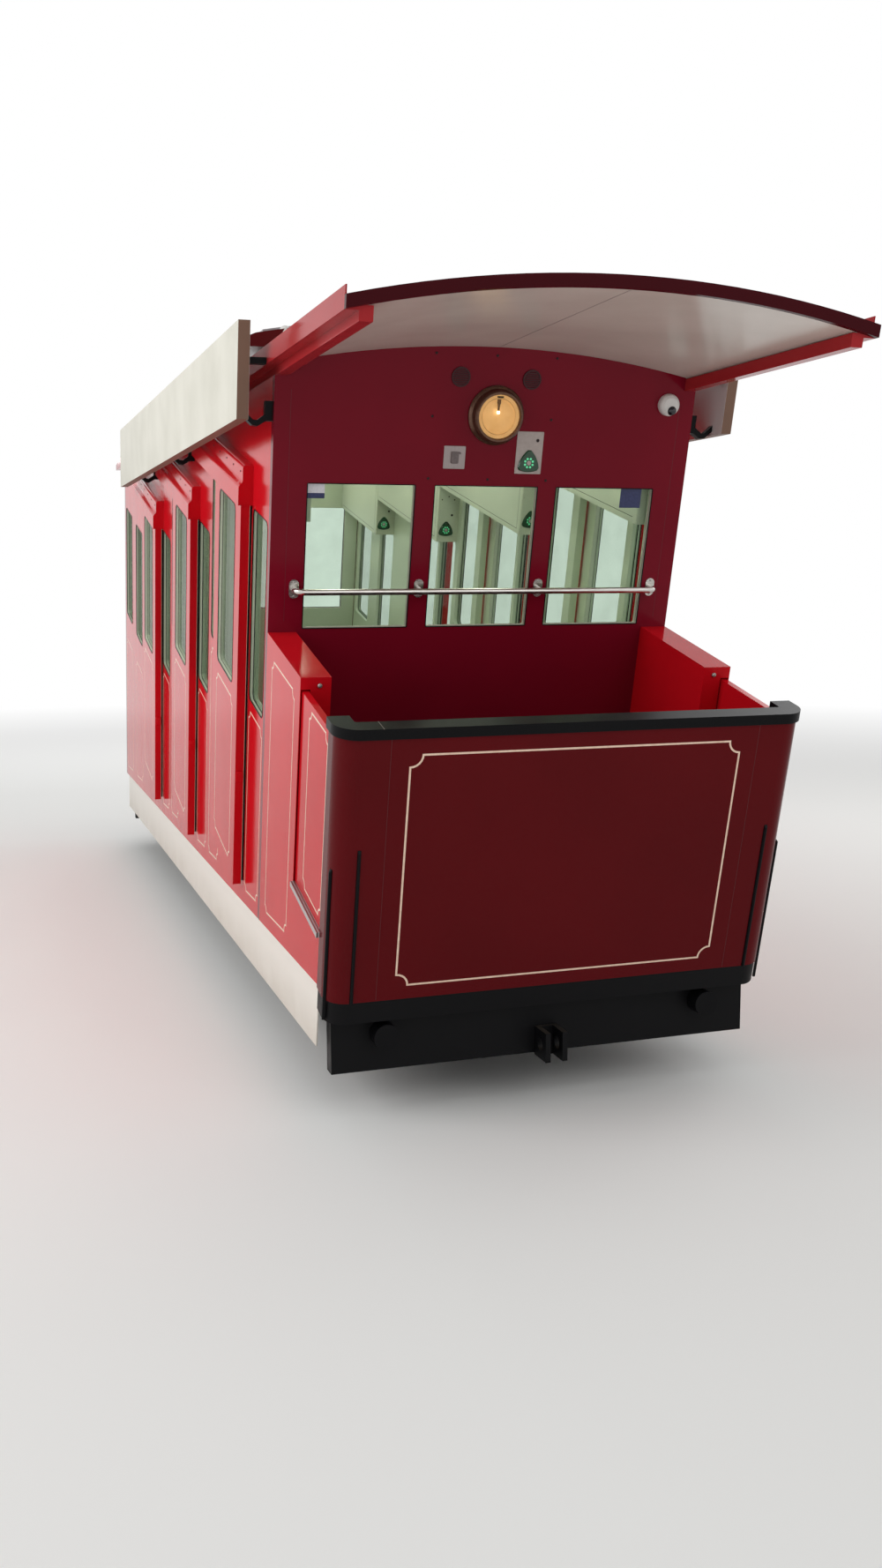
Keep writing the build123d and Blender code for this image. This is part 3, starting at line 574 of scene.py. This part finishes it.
# Sliding door leaves: hollow pressed sheet 48 mm thick, with plain rolled edges. Each
# carries its own window seal in a cream reveal and a notched stripe frame below the window.
reveal_material = plain_finish(
    "satin cream coat on leaf reveals", (120.0, 2.0), "#cbcebb", "#d6d9c8", roughness=0.4,
    ior=1.5,
)
leaf_face = half + leaf_gap + leaf_depth
leaf_start = 1.932
leaf_width = 0.765
glass_width, glass_foot, glass_head = 0.475, 1.142, 2.125
stripe_reach, stripe_foot, stripe_head = 0.25, 0.1, 1.065
leaves = [
    # side and number, side, uphill edge, foot
    (f"{word}_{k + 1}", side, leaf_start + k * bay_pitch, bay_floor - k * bay_drop)
    for k in range(3)
    for side, word in sides
]
for leaf, side, start, foot in leaves:
    face = on_side(side, leaf_face)
    middle = start + leaf_width / 2
    glass_middle = foot + (glass_foot + glass_head) / 2
    opening = (middle, glass_middle, glass_width, glass_head - glass_foot, side_radius)
    bm = bmesh.new()
    seal(bm, *opening, -0.003, seal_proud, face)
    seal(bm, *opening, -0.0205, -0.0175, face)
    piece(f"door_seal_{leaf}", bm, rubber_material, f"door_{leaf}")
    bm = bmesh.new()
    seal(bm, *opening, -0.0175, -0.003, face)
    seal(bm, *opening, skin - leaf_depth, -0.0205, face)
    piece(f"door_reveal_{leaf}", bm, reveal_material, f"door_{leaf}")
    bm = bmesh.new()
    ends = (middle - stripe_reach, middle + stripe_reach)
    stripe(bm, face, *ends, foot + stripe_foot, foot + stripe_foot, foot + stripe_head)
    piece(f"door_stripe_{leaf}", bm, stripe_material, f"door_{leaf}")


def circle(bm, count, at):
    """A ring of corners, each placed from its cosine and sine."""
    turns = [2 * math.pi * j / count for j in range(count)]
    return [bm.verts.new(at(math.cos(turn), math.sin(turn))) for turn in turns]


def boss(bm, centre, out, radius, height, dome=0.0, corners=14, flat=0.75):
    """Adds a round head: a short cylinder with a rounded crown, standing out along a
    direction from its centre."""
    out = Vector(out).normalized()
    across = out.orthogonal().normalized()
    up = out.cross(across)
    crown = radius * flat
    outline = ((radius, 0.0), (radius, height), (crown, height + dome),
               (crown * 0.4, height + dome * 1.25))
    rings = [
        circle(bm, corners, lambda c, s: centre + out * n + (across * c + up * s) * r)
        for r, n in outline
    ]
    bridge(bm, rings)
    bm.faces.new(rings[-1])
    bm.faces.new(rings[0][::-1])


def slab(bm, path, low, high, face, edge=0.0):
    """Adds a plate with the outline of a path, from low to high out of a face, its outer
    edge bevelled."""
    middle = Vector((sum(p[0] for p in path), sum(p[1] for p in path))) / len(path)
    layers = [(low, 0.0), (high - edge, 0.0)]
    if edge:
        layers.append((high, edge))
    rings = []
    for n, shrink in layers:
        ring = []
        for u, v in path:
            point = Vector((u, v))
            point += (middle - point).normalized() * shrink
            ring.append(bm.verts.new(face(point.x, point.y, n)))
        rings.append(ring)
    bridge(bm, rings)
    bm.faces.new(rings[0])
    bm.faces.new(rings[-1])


# Lock covers: small pressed red plates on the uphill edges of the leaves, each with a screw
uphill = direction(0, -1, 0)
for leaf, side, start, foot in leaves:
    bm = bmesh.new()
    x = side * (leaf_face - leaf_depth / 2)
    plate = rounded(x, foot + 0.655, 0.039, 0.061, 0.008)
    slab(bm, plate, 0.0, 0.012, on_uphill(start), edge=0.003)
    boss(bm, place(x, start - 0.012, foot + 0.664), uphill, 0.008, 0.002, dome=0.0015)
    piece(f"lock_cover_{leaf}", bm, open_paint, f"door_{leaf}")

# Edge seals: a black rubber lip behind the uphill edge of every leaf, which closes its gap to
# the side sheet and slides with it.
for leaf, side, start, foot in leaves:
    bm = bmesh.new()
    path = ((start + 0.005, foot + 0.02), (start + 0.005, foot + 2.14))
    ribbon(bm, path, 0.006, 0.0012, leaf_gap - 0.0001, on_side(side, half), closed=False)
    piece(f"door_edge_seal_{leaf}", bm, rubber_material, f"door_{leaf}")

# Header boxes: pressed sheet closed by rows of small blackened dome screws along their tops.
screw_steel, tree = new_material("zinc-plated steel screws")
fleck = noise(tree, 220.0, 3.0)
principled(
    tree,
    base_color=mottled(tree, fleck, "#8f8d89", "#b9b7b2"),
    metallic=0.85,
    roughness=spread(tree, fleck, 0.3, 0.7, 0.3, 0.5),
)
blackened, tree = new_material("blackened steel screws")
fleck = noise(tree, 260.0, 3.0)
principled(
    tree,
    base_color=mottled(tree, fleck, "#1b1214", "#2c1d1e"),
    metallic=0.5,
    roughness=spread(tree, fleck, 0.3, 0.7, 0.35, 0.5),
)
header_start = 1.924
header_length = 1.54
header_clear = 2.15
header_neck = 0.055
screw_inset = 0.06
screw_count = 8
screw_pitch = (header_length - 2 * screw_inset) / (screw_count - 1)
bm = bmesh.new()
for k in range(3):
    z = bay_floor - k * bay_drop + header_clear + 0.165
    for side, word in sides:
        for j in range(screw_count):
            y = header_start + k * bay_pitch + screw_inset + j * screw_pitch
            at = place(side * (half + header_neck), y, z)
            boss(bm, at, direction(side, 0, 0), 0.005, 0.001, dome=0.0015, corners=10)
piece("header_screws", bm, blackened)

# Gates: plain leaves of framed sheet with one notched stripe frame each
gate_face = half - 0.01
for side, word in sides:
    bm = bmesh.new()
    stripe(bm, on_side(side, gate_face), 0.215, 0.56, 0.905, 0.905, 1.773)
    piece(f"gate_stripe_{word}", bm, stripe_material, f"gate_{word}")

# Gate pockets: a bright knob beside the mouth of the slot locks the gate
bm = bmesh.new()
for side, word in sides:
    boss(bm, place(side * 1.01, 0.719, 1.835), uphill, 0.011, 0.008, dome=0.004)
piece("pocket_knobs", bm, screw_steel)

# Uphill wall fittings. A cover panel over the lamp wiring is held by eight small dark screws.
bm = bmesh.new()
for x, z in (
    (-0.314, 3.255), (0.0, 3.255), (0.315, 3.255),
    (-0.314, 2.956), (0.314, 2.956),
    (-0.314, 2.653), (0.0, 2.653), (0.315, 2.653),
):
    boss(bm, place(x, cabin_y, z), uphill, 0.0065, 0.0015, dome=0.002)
piece("cover_screws", bm, blackened)

# Loudspeakers: pressed louvre discs in a dark maroon satin coat
speaker_paint = plain_finish(
    "dark maroon satin coat on louvres", (140.0, 3.0), "#30090f", "#421118", roughness=0.4,
    ior=1.5, specular_ior_level=0.3,
)
finish(speaker_paint, "speakers")

# Switch plate: brushed steel with two screws, and a grey key housing under a small hood
brushed_material, tree = new_material("brushed stainless plate")
lines = noise(tree, 5.0, 4.0, stretch=(400.0, 4.0, 4.0))
principled(
    tree,
    base_color=mottled(tree, lines, "#958a88", "#a69b99"),
    metallic=0.9,
    roughness=spread(tree, lines, 0.3, 0.7, 0.28, 0.45),
)
grey_plastic = plain_finish(
    "grey moulded plastic", (90.0, 2.0), "#655a59", "#756968", roughness=0.4, ior=1.5
)
front = on_uphill(cabin_y)
bm = bmesh.new()
slab(bm, rounded(-0.185, 2.7595, 0.113, 0.113, 0.004), 0.0, 0.003, front, 0.001)
for z in (2.71, 2.809):
    boss(bm, place(-0.185, cabin_y - 0.003, z), uphill, 0.0035, 0.0008, dome=0.0008, corners=10)
piece("switch_plate", bm, brushed_material)
bm = bmesh.new()
slab(bm, rounded(-0.184, 2.756, 0.038, 0.052, 0.006), 0.003, 0.013, front, 0.002)
slab(bm, rounded(-0.179, 2.782, 0.047, 0.009, 0.003), 0.003, 0.018, front, 0.002)
piece("switch_housing", bm, grey_plastic)

# Call plates: a grey anodised panel with a blank slot, a key switch and a green button with
# three bowed sides, in whose middle eight small lights stand round a grey lens.
panel_material = plain_finish(
    "grey anodised panel", (60.0, 2.0), "#aea29c", "#b8ada7", roughness=0.4, ior=1.5
)
green_material = plain_finish(
    "dark green moulded button", (120.0, 2.0), "#0c3a22", "#134a2c", roughness=0.22, ior=1.49,
    coat_weight=0.4,
)
light_material = plain_finish(
    "lit green lights in the button", (200.0, 2.0), "#58c890", "#7fdcae", roughness=0.3,
    emission_color=hex_colour("#4fd692"), emission_strength=0.45,
)


def bowed_triangle(u, v, width, height, bow, radius, steps=6):
    """A closed path round a triangle with its corner up, whose sides bow outwards. It is
    centred at u and stands on v."""
    reach, low = width / 2 - radius, v + bow + radius
    corners = ((u - reach, low), (u + reach, low), (u, v + height - radius))
    path = []
    for i, corner in enumerate(corners):
        along = Vector(corners[(i + 1) % 3]) - Vector(corner)
        out = Vector((along.y, -along.x)).normalized()
        for j in range(steps + 1):
            share = j / steps
            swell = radius + bow * 4 * share * (1 - share)
            path.append(tuple(Vector(corner) + along * share + out * swell))
    return path


def call_plate(name, u, v, y, panel, width=0.142):
    """The button with its lights, on a panel with a slot, a key switch and four screws, on a
    face at y that looks uphill."""
    face = on_uphill(y)
    low = v - 0.0955
    middle = low + 0.046
    bm = bmesh.new()
    slab(bm, rounded(u, v, width, 0.211, 0.004), 0.0, 0.003, face, 0.001)
    slot = rounded(u - 0.0145, v + 0.062, 0.057, 0.027, 0.003)
    ribbon(bm, slot, 0.0015, 0.003, 0.0034, face)
    piece(f"{name}_panel", bm, panel)
    bm = bmesh.new()
    slab(bm, bowed_triangle(u, low, 0.116, 0.114, 0.009, 0.009), 0.003, 0.011, face, 0.004)
    piece(f"{name}_button", bm, green_material)
    bm = bmesh.new()
    for j in range(8):
        turn = 2 * math.pi * (j + 0.5) / 8
        at = face(u + 0.022 * math.cos(turn), middle + 0.022 * math.sin(turn), 0.0105)
        boss(bm, at, uphill, 0.006, 0.001, dome=0.001, corners=10)
    piece(f"{name}_lights", bm, light_material)
    bm = bmesh.new()
    boss(bm, face(u, middle, 0.0105), uphill, 0.012, 0.001, dome=0.002, corners=16)
    for way in (-1, 1):
        for rise in (-0.097, 0.097):
            at = face(u + way * (width / 2 - 0.009), v + rise, 0.003)
            boss(bm, at, uphill, 0.0035, 0.0006, dome=0.0006, corners=8)
    piece(f"{name}_lens", bm, panel_material)
    bm = bmesh.new()
    key_at = face(u + 0.04, v + 0.0625, 0.003)
    boss(bm, key_at, uphill, 0.0085, 0.0015, dome=0.001, corners=16)
    piece(f"{name}_key_switch", bm, blackened)


call_plate("call_uphill", 0.211, 2.7905, cabin_y, panel_material)

# Plates by the windows: a white one with a dark blue foot and a dark blue one, both blank
blue_material = plain_finish(
    "dark blue vinyl", (90.0, 2.0), "#232a55", "#2d3566", roughness=0.3, ior=1.5
)
white_vinyl = plain_finish(
    "white vinyl", (90.0, 2.0), "#d6d6dc", "#e3e3e8", roughness=0.3, ior=1.5
)
pane_face = on_uphill(cabin_y + 0.021)
bm = bmesh.new()
slab(bm, rounded(-0.8805, 2.583, 0.095, 0.08, 0.003), 0.0, 0.0006, pane_face)
piece("white_plate", bm, white_vinyl)
bm = bmesh.new()
slab(bm, rounded(-0.8805, 2.556, 0.095, 0.026, 0.003), 0.0006, 0.0009, pane_face)
slab(bm, rounded(0.8125, 2.565, 0.119, 0.1, 0.004), 0.0, 0.0006, pane_face)
piece("blue_plates", bm, blue_material)

# Headlamp and the two lamps of the lower end: spun bezels in a dark bronze coat, a cream
# enamelled dish with a painted glow for the bulb's light on it, a small lit bulb in a brown
# holder, and a clear domed lens.
bezel_material, tree = new_material("bronze coat on spun bezels")
speck = noise(tree, 90.0, 4.0)
principled(
    tree,
    base_color=mottled(tree, speck, "#573d31", "#6f5140"),
    metallic=0.6,
    roughness=0.3,
    normal=bumped(tree, 0.2, 0.0005, speck),
)
finish(bezel_material, "headlamps")
lens_material = glazing(
    "clear lamp lens", "#fdf6ea", "#efd9b0", polish=0.03, index=1.5, gain=0.8,
    streaks=(9.0, 3.0), film=(0.35, 0.7, 0.03, 0.06),
)
finish(lens_material, "lamp_lenses")
# The dish's faint glow is painted light from the bulb.
bowl_material = plain_finish(
    "cream enamelled reflector", (25.0, 2.0), "#e2c493", "#ecd3a8", roughness=0.45,
    emission_color=hex_colour("#f0c48a"), emission_strength=0.3,
)
socket_material = plain_finish(
    "brown lamp holder", (90.0, 3.0), "#3f2415", "#75492c", roughness=0.4
)
bulb_material = plain_finish(
    "lit filament bulb", (120.0, 2.0), "#fff0d0", "#fff8e8", roughness=0.5,
    emission_color=hex_colour("#ffedd2"), emission_strength=5.0,
)
lamp_x, lamp_z = 0.015, 2.97
lamp_places = (
    # name, x, y, z, scale, direction along the car
    ("headlamp", lamp_x, cabin_y, lamp_z, 1.0, -1),
    ("lower_lamp_left", -0.7, length, 0.051, 0.62, 1),
    ("lower_lamp_right", 0.7, length, 0.051, 0.62, 1),
)


def turned(bm, outline, x, y, z, scale=1.0, way=-1, corners=40):
    """Adds a surface turned about a level axis along the car, from (radius, out)."""
    rings = []
    for radius, out in outline:
        r, at = scale * radius, y + way * scale * out
        count = corners if radius > 0 else 1
        rings.append(circle(bm, count, lambda c, s: place(x + r * c, at, z + r * s)))
    for low, high in zip(rings, rings[1:]):
        if len(high) > 1:
            bridge(bm, (low, high))
            continue
        for j in range(corners):
            bm.faces.new((low[j], low[(j + 1) % corners], high[0]))


# The enamelled dish, and the flat ring round it that the lens is clipped to
dish_outline = ((0.087, 0.047), (0.085, 0.039), (0.078, 0.0315), (0.062, 0.0235),
                (0.04, 0.0175), (0.018, 0.0148), (0.0, 0.0143))
ring_outline = ((0.0888, 0.044), (0.0888, 0.048), (0.1055, 0.0505), (0.1065, 0.0505))
gap_outline = ((0.0865, 0.042), (0.0893, 0.042))
# The bulb hangs into the dish from a holder in its upper edge, given by (height, radius)
bulb_out = 0.034
holder_outline = (
    (0.083, 0.0095), (0.062, 0.0095), (0.058, 0.007), (0.04, 0.0055), (0.026, 0.0045)
)
for name, x, y, z, scale, way in lamp_places:
    bm = bmesh.new()
    turned(bm, dish_outline, x, y, z, scale, way)
    turned(bm, ring_outline, x, y, z, scale, way)
    piece(f"{name}_bowl", bm, bowl_material, smooth=True)
    bm = bmesh.new()
    turned(bm, gap_outline, x, y, z, scale, way)
    bulb_y = y + way * scale * bulb_out
    rings = [
        circle(
            bm,
            14,
            lambda c, s: place(
                x + scale * radius * c, bulb_y + way * scale * radius * s, z + scale * up
            ),
        )
        for up, radius in holder_outline
    ]
    bridge(bm, rings)
    bm.faces.new(rings[-1])
    piece(f"{name}_holder", bm, socket_material, smooth=True)
    bm = bmesh.new()
    bmesh.ops.create_uvsphere(bm, u_segments=14, v_segments=8, radius=scale * 0.0085)
    bmesh.ops.translate(bm, verts=bm.verts, vec=place(x, bulb_y, z + scale * 0.0185))
    piece(f"{name}_bulb", bm, bulb_material, smooth=True)

# The headlamp stands on a spun flange. Its ring turns on a bright hinge barrel at the left
# and is held by a small catch at the right, and a blackened spring clip holds the lens.
flange_outline = ((0.1355, 0.0), (0.1355, 0.004), (0.1325, 0.0085), (0.1265, 0.0115),
                  (0.118, 0.0125))
bm = bmesh.new()
turned(bm, flange_outline, lamp_x, cabin_y, lamp_z, corners=64)
piece("headlamp_flange", bm, bezel_material, smooth=True)
bm = bmesh.new()
barrels = (
    # across and up from the lamp's middle, radius, height
    (-0.1125, 0.006, 0.0045, 0.07),
    (0.1095, 0.0, 0.003, 0.026),
)
for across, up, radius, tall in barrels:
    at = place(lamp_x + across, cabin_y - 0.05, lamp_z + up - tall / 2)
    boss(bm, at, direction(0, 0, 1), radius, tall, dome=0.001, corners=12)
piece("headlamp_hinge", bm, screw_steel)
bm = bmesh.new()
slab(bm, rounded(lamp_x, lamp_z + 0.0945, 0.034, 0.009, 0.002), 0.0485, 0.0504, front, 0.0005)
piece("headlamp_clip", bm, blackened)

# Dome camera: white moulded polycarbonate, with a smoked dome
white_plastic = plain_finish(
    "white moulded polycarbonate", (400.0, 2.0), "#d2cfcb", "#dfdcd8", roughness=0.3, ior=1.58
)
finish(white_plastic, "camera_housing")
dome_material = plain_finish(
    "smoked camera dome", (50.0, 2.0), "#0b0c12", "#161823", roughness=0.06, ior=1.58
)
dome_turns = [math.radians(15 * j) for j in range(6)]
dome_outline = [(0.024 * math.cos(a), 0.04 + 0.02 * math.sin(a)) for a in dome_turns]
bm = bmesh.new()
turned(bm, [*dome_outline, (0.0, 0.06)], 0.957, cabin_y, 3.027, corners=32)
piece("camera_dome", bm, dome_material, smooth=True)

# Grab rail: bent stainless tube, polished by hands, with faint lengthwise brushing and
# two countersunk screws through each foot.
stainless_material, tree = new_material("polished stainless tube")
brush = noise(tree, 6.0, 3.0, stretch=(2.0, 120.0, 120.0))
principled(
    tree,
    base_color=mottled(tree, brush, "#b9b5af", "#d9d6d2"),
    metallic=1.0,
    roughness=spread(tree, brush, 0.3, 0.7, 0.16, 0.32),
)
finish(stainless_material, "grab_rail")
bm = bmesh.new()
for x in (-0.975, -0.327, 0.327, 0.975):
    for z in (2.06, 2.132):
        boss(bm, place(x, cabin_y - 0.006, z), uphill, 0.006, 0.0006, dome=0.0014)
piece("grab_rail_screws", bm, screw_steel)

# Parapet rail: black moulded rubber on a steel core, smooth on top from hands, in two
# lengths whose pale joint shows left of the middle.
finish(rubber_material, "parapet_rail", "buffers")
rail_top = 1.877
joint_x = -0.91
bm = bmesh.new()
path = ((-0.0124, joint_x), (0.088, joint_x))
ribbon(bm, path, 0.003, 0.0, 0.0006, lambda u, v, n: place(v, u, rail_top + n), closed=False)
piece("rail_joint", bm, brushed_material)

# Rubbing strips: half round black rubber on the flanks of the parapet's corners
def strip(bm, x, y, out, low, high, width=0.017, depth=0.014):
    """Adds a half round strip with a chamfered head, standing out in a level direction."""
    out = Vector(out).normalized()
    across = Vector((-out.y, out.x))
    rings = []
    for z, scale in ((low, 1.0), (high - 0.012, 1.0), (high, 0.35)):
        ring = []
        for j in range(9):
            turn = math.pi * j / 8
            flat = across * (width / 2) * math.cos(turn)
            flat += out * (depth * math.sin(turn) * scale - 0.002)
            ring.append(bm.verts.new(place(x + flat.x, y + flat.y, z)))
        rings.append(ring)
    bridge(bm, rings)
    for ring in (rings[0], rings[-1]):
        bm.faces.new(ring)


corner_radius = 0.1
corner_turn = math.radians(25)
out_x, out_y = math.cos(corner_turn), -math.sin(corner_turn)
bm = bmesh.new()
for side, word in sides:
    strip(bm, side * 0.985, 0.0, (0.0, -1.0), 0.58, 1.326)
    x = side * (half - corner_radius + corner_radius * out_x)
    y = corner_radius + corner_radius * out_y
    strip(bm, x, y, (side * out_x, out_y), 0.48, 1.22)
piece("rubbing_strips", bm, rubber_material)

# Parapet joints: the corner sheets meet the flat front in two upright seams.
bm = bmesh.new()
for side, word in sides:
    seam(bm, ((side * 0.871, 0.585), (side * 0.871, 1.826)), on_uphill(0.0))
piece("parapet_seams", bm, seam_material)

# Roof: steel sheet on bows in an off-white gloss coat, below also, where it is the ceiling
# of cabin and platform. One closed joint shows in the canopy's soffit.
roof_material, tree = new_material("off-white gloss coat on the roof")
principled(
    tree,
    base_color=mottled(tree, noise(tree, 2.2, 5.0), "#d0c4ba", "#ddd2c8"),
    roughness=0.2,
    ior=1.5,
    normal=bumped(tree, 0.2, 0.012, noise(tree, 2.4, 1.0)),
)
finish(roof_material, "roof")
crown_h = 3.662
bm = bmesh.new()
ribbon(
    bm,
    ((0.045, 0.0), (1.466, 0.0)),
    0.0025,
    0.0,
    0.0008,
    lambda u, v, n: place(0.005 + v, u, crown_h - fall * u - n),
    closed=False,
)
piece("soffit_joint", bm, grey_plastic)

# Roof unit: a red sheet housing under a pale weathered lid, with a white aerial dome on it.
lid_material = plain_finish(
    "weathered pale coat on the lid", (7.0, 6.0), "#a8a3a6", "#cdc9cb", roughness=0.45, ior=1.5
)
finish(lid_material, "roof_unit_lid")
aerial_x, aerial_y = -0.84, 2.475
aerial_z = 3.838 - fall * aerial_y
aerial_outline = ((0.03, 0.0), (0.03, 0.022), (0.027, 0.036), (0.019, 0.046), (0.008, 0.051))
bm = bmesh.new()
rings = [
    circle(bm, 20, lambda c, s: place(aerial_x + r * c, aerial_y + r * s, aerial_z + up))
    for r, up in aerial_outline
]
bridge(bm, rings)
bm.faces.new(rings[-1])
bm.faces.new(rings[0])
piece("aerial_dome", bm, white_plastic, smooth=True)

# Lining: deep pressed sheet covers over the door gear and the side windows, satin cream.
lining_material, tree = new_material("satin cream coat on lining sheet")
fleck = noise(tree, 300.0, 2.0)
principled(
    tree,
    base_color=mottled(tree, fleck, "#cbcebb", "#d6d9c8"),
    roughness=0.4,
    ior=1.5,
    normal=bumped(tree, 0.15, 0.0004, fleck),
)
finish(lining_material, "gear_covers")

# Seams and screws of the covers: a closed joint runs level over each foot, another stands
# behind each uphill corner, and three small dark screws hold every uphill face.
cover_face = half - wall - 0.165
cover_lead = 0.4
cover_gap = 0.004
covers = [
    # uphill face, foot
    (leaf_start + k * bay_pitch - cover_lead, bay_floor - k * bay_drop + header_clear)
    for k in range(3)
]
covers.append((leaf_start + 3 * bay_pitch - cover_lead, 1.282))
seams, screws = bmesh.new(), bmesh.new()
for k, (start, foot) in enumerate(covers):
    end = min(start + bay_pitch - cover_gap, length - wall)
    first, low = start + 0.052, foot + 0.031
    paths = [((first, low), (end - 0.05, low))]
    if k:
        paths.append(((first, low), (first, 3.43 - fall * start)))
    for side, word in sides:
        for path in paths:
            ribbon(seams, path, 0.003, -0.0003, 0.0, on_side(side, cover_face), closed=False)
        if k:
            for x, up in ((0.91, 0.318), (0.962, 0.341), (1.007, 0.318)):
                at = place(side * x, start, foot + up)
                boss(screws, at, uphill, 0.005, 0.001, dome=0.0012, corners=10)
piece("cover_seams", seams, blackened)
piece("cover_face_screws", screws, blackened)

# Ceiling lamps: two rows of opal strips under the cabin's ceiling, which light the lining
opal_material = plain_finish(
    "lit opal strip", (60.0, 2.0), "#f2f2ea", "#fbfbf5", roughness=0.5,
    emission_color=hex_colour("#fbfff4"), emission_strength=7.0,
)
bm = bmesh.new()
for side, word in sides:
    for y0 in (1.7, 3.36, 5.02, 6.5):
        y1 = y0 + 1.1
        x0, x1 = side * 0.42, side * 0.54
        rings = []
        for z in (crown_h - 0.034, crown_h - 0.058):
            ends = ((x0, y0), (x1, y0), (x1, y1), (x0, y1))
            rings.append([bm.verts.new(place(x, y, z - fall * y)) for x, y in ends])
        bridge(bm, rings)
        bm.faces.new(rings[1])
piece("ceiling_lamps", bm, opal_material)

# Call plates on the uphill faces of the covers, on both sides of every step, coated as
# the covers are
for k in (1, 2, 3):
    start, foot = covers[k]
    for side, word in sides:
        plate = (side * 0.953, foot + 0.1405, start, lining_material)
        call_plate(f"call_{word}_{k}", *plate, width=0.13)

# Signs: blank ivory boards of enamelled sheet along both eaves; the frame's ends and edges are
# a brown grey, darkened as painted shade. The brackets are black cast iron.
sign_material, tree = new_material("ivory enamel on sign boards")
split = add(tree, "ShaderNodeSeparateXYZ", vector=own_place(tree))
across = reckon(tree, "ABSOLUTE", split.outputs["X"])
faced = reckon(tree, "GREATER_THAN", across, 1.2925)
behind = reckon(tree, "LESS_THAN", across, 1.2375)
ivory = mottled(tree, noise(tree, 3.0, 4.0), "#c6c4b7", "#d2d0c4")
# The ends and edges between the two faces: a brown grey darkened as painted shade.
ends = two_tone(tree, faced, hex_colour("#7a5f50"), ivory)
principled(
    tree,
    base_color=two_tone(tree, behind, ends, hex_colour("#c9c4c2")),
    roughness=0.45,
    ior=1.5,
    specular_ior_level=0.15,
)
finish(sign_material, "signs")

# Underframe and running gear: rolled steel with a satin black coat, dusty on top.
black_material, tree = new_material("satin black coat on rolled steel")
cloud = noise(tree, 6.0, 6.0)
facing = add(tree, "ShaderNodeNewGeometry").outputs["Normal"]
facing_up = add(tree, "ShaderNodeSeparateXYZ", vector=facing).outputs["Z"]
dust = reckon(tree, "MULTIPLY", spread(tree, facing_up, 0.4, 1.0, 0.0, 1.0), cloud)
principled(
    tree,
    base_color=two_tone(tree, dust, hex_colour("#0c0c0e"), hex_colour("#4c453e")),
    roughness=spread(tree, cloud, 0.3, 0.7, 0.35, 0.55),
    ior=1.5,
    specular_ior_level=0.12,
    normal=bumped(tree, 0.3, 0.0006, cloud),
)
finish(
    black_material,
    "underframe",
    "axle_boxes",
    "equipment_block",
    "rope_anchor",
    "rail_brake",
    "front_valance",
    "sign_brackets",
)

# Wheelsets: forged and turned steel, rusty brown on the webs and bright where the rail
# runs on the treads. The distance from the axle tells the two apart.
axle_places = (
    # node, place along the track
    ("wheelset_uphill", 1.5),
    ("wheelset_downhill", 6.3),
)
tread_radius = 0.28
axle_z = tread_radius + flange
for name, t in axle_places:
    material, tree = new_material(f"turned steel of the {name.replace('_', ' ')}")
    grain = noise(tree, 30.0, 6.0)
    at = own_place(tree)
    for operation, other in (
        ("SUBTRACT", (0.0, t - row_shift, axle_z)), ("MULTIPLY", (0.0, 1.0, 1.0))
    ):
        step = {"in_0": at, "in_1": other}
        at = add(tree, "ShaderNodeVectorMath", {"operation": operation}, **step).outputs[0]
    radius = add(tree, "ShaderNodeVectorMath", {"operation": "LENGTH"}, in_0=at)
    bright = (tread_radius - 0.012, tread_radius - 0.001)
    worn = spread(tree, radius.outputs["Value"], *bright, 0.0, 1.0)
    rust = mottled(tree, grain, "#3a2a22", "#5f4b3d")
    principled(
        tree,
        base_color=two_tone(tree, worn, rust, hex_colour("#a9a7a3")),
        metallic=spread(tree, worn, 0.0, 1.0, 0.3, 1.0),
        roughness=spread(tree, worn, 0.0, 1.0, 0.6, 0.25),
        normal=bumped(tree, 0.35, 0.0008, grain),
    )
    finish(material, name)

# Skirts: light grey coated sheet, dusty along the foot
skirt_material, tree = new_material("light grey coat on skirt sheet")
height = add(tree, "ShaderNodeSeparateXYZ", vector=own_place(tree)).outputs["Z"]
low_down = spread(tree, height, 0.33, 0.55, 0.75, 0.0)
dirt = reckon(tree, "MULTIPLY", low_down, noise(tree, 4.0, 6.0))
principled(
    tree,
    base_color=two_tone(tree, dirt, hex_colour("#e6e1d8"), hex_colour("#b0a391")),
    roughness=0.38,
    ior=1.5,
)
finish(skirt_material, "skirts")

# Floors: dark studded rubber sheet, studs 25 mm apart.
floor_rubber, tree = new_material("studded rubber floor sheet")
studs = add(
    tree,
    "ShaderNodeTexVoronoi",
    {"feature": "F1"},
    vector=own_place(tree),
    scale=40.0,
    randomness=0.0,
)
raised = spread(tree, studs.outputs["Distance"], 0.3, 0.42, 1.0, 0.0)
principled(
    tree,
    base_color=two_tone(tree, raised, hex_colour("#232426"), hex_colour("#36383b")),
    roughness=0.6,
    normal=bumped(tree, 0.8, 0.0012, raised),
)
finish(floor_rubber, "cabin_floor", "platform_floor")

# Gate thresholds: extruded aluminium with grooves along the car.
threshold_material, tree = new_material("grooved extruded aluminium")
grooves = add(
    tree,
    "ShaderNodeTexWave",
    {"bands_direction": "X"},
    vector=own_place(tree),
    scale=25.0,
).outputs["Fac"]
principled(
    tree,
    base_color=two_tone(tree, grooves, hex_colour("#8e8f90"), hex_colour("#c4c5c4")),
    metallic=0.9,
    roughness=0.35,
    normal=bumped(tree, 0.6, 0.002, grooves),
)
finish(threshold_material, "gate_thresholds")
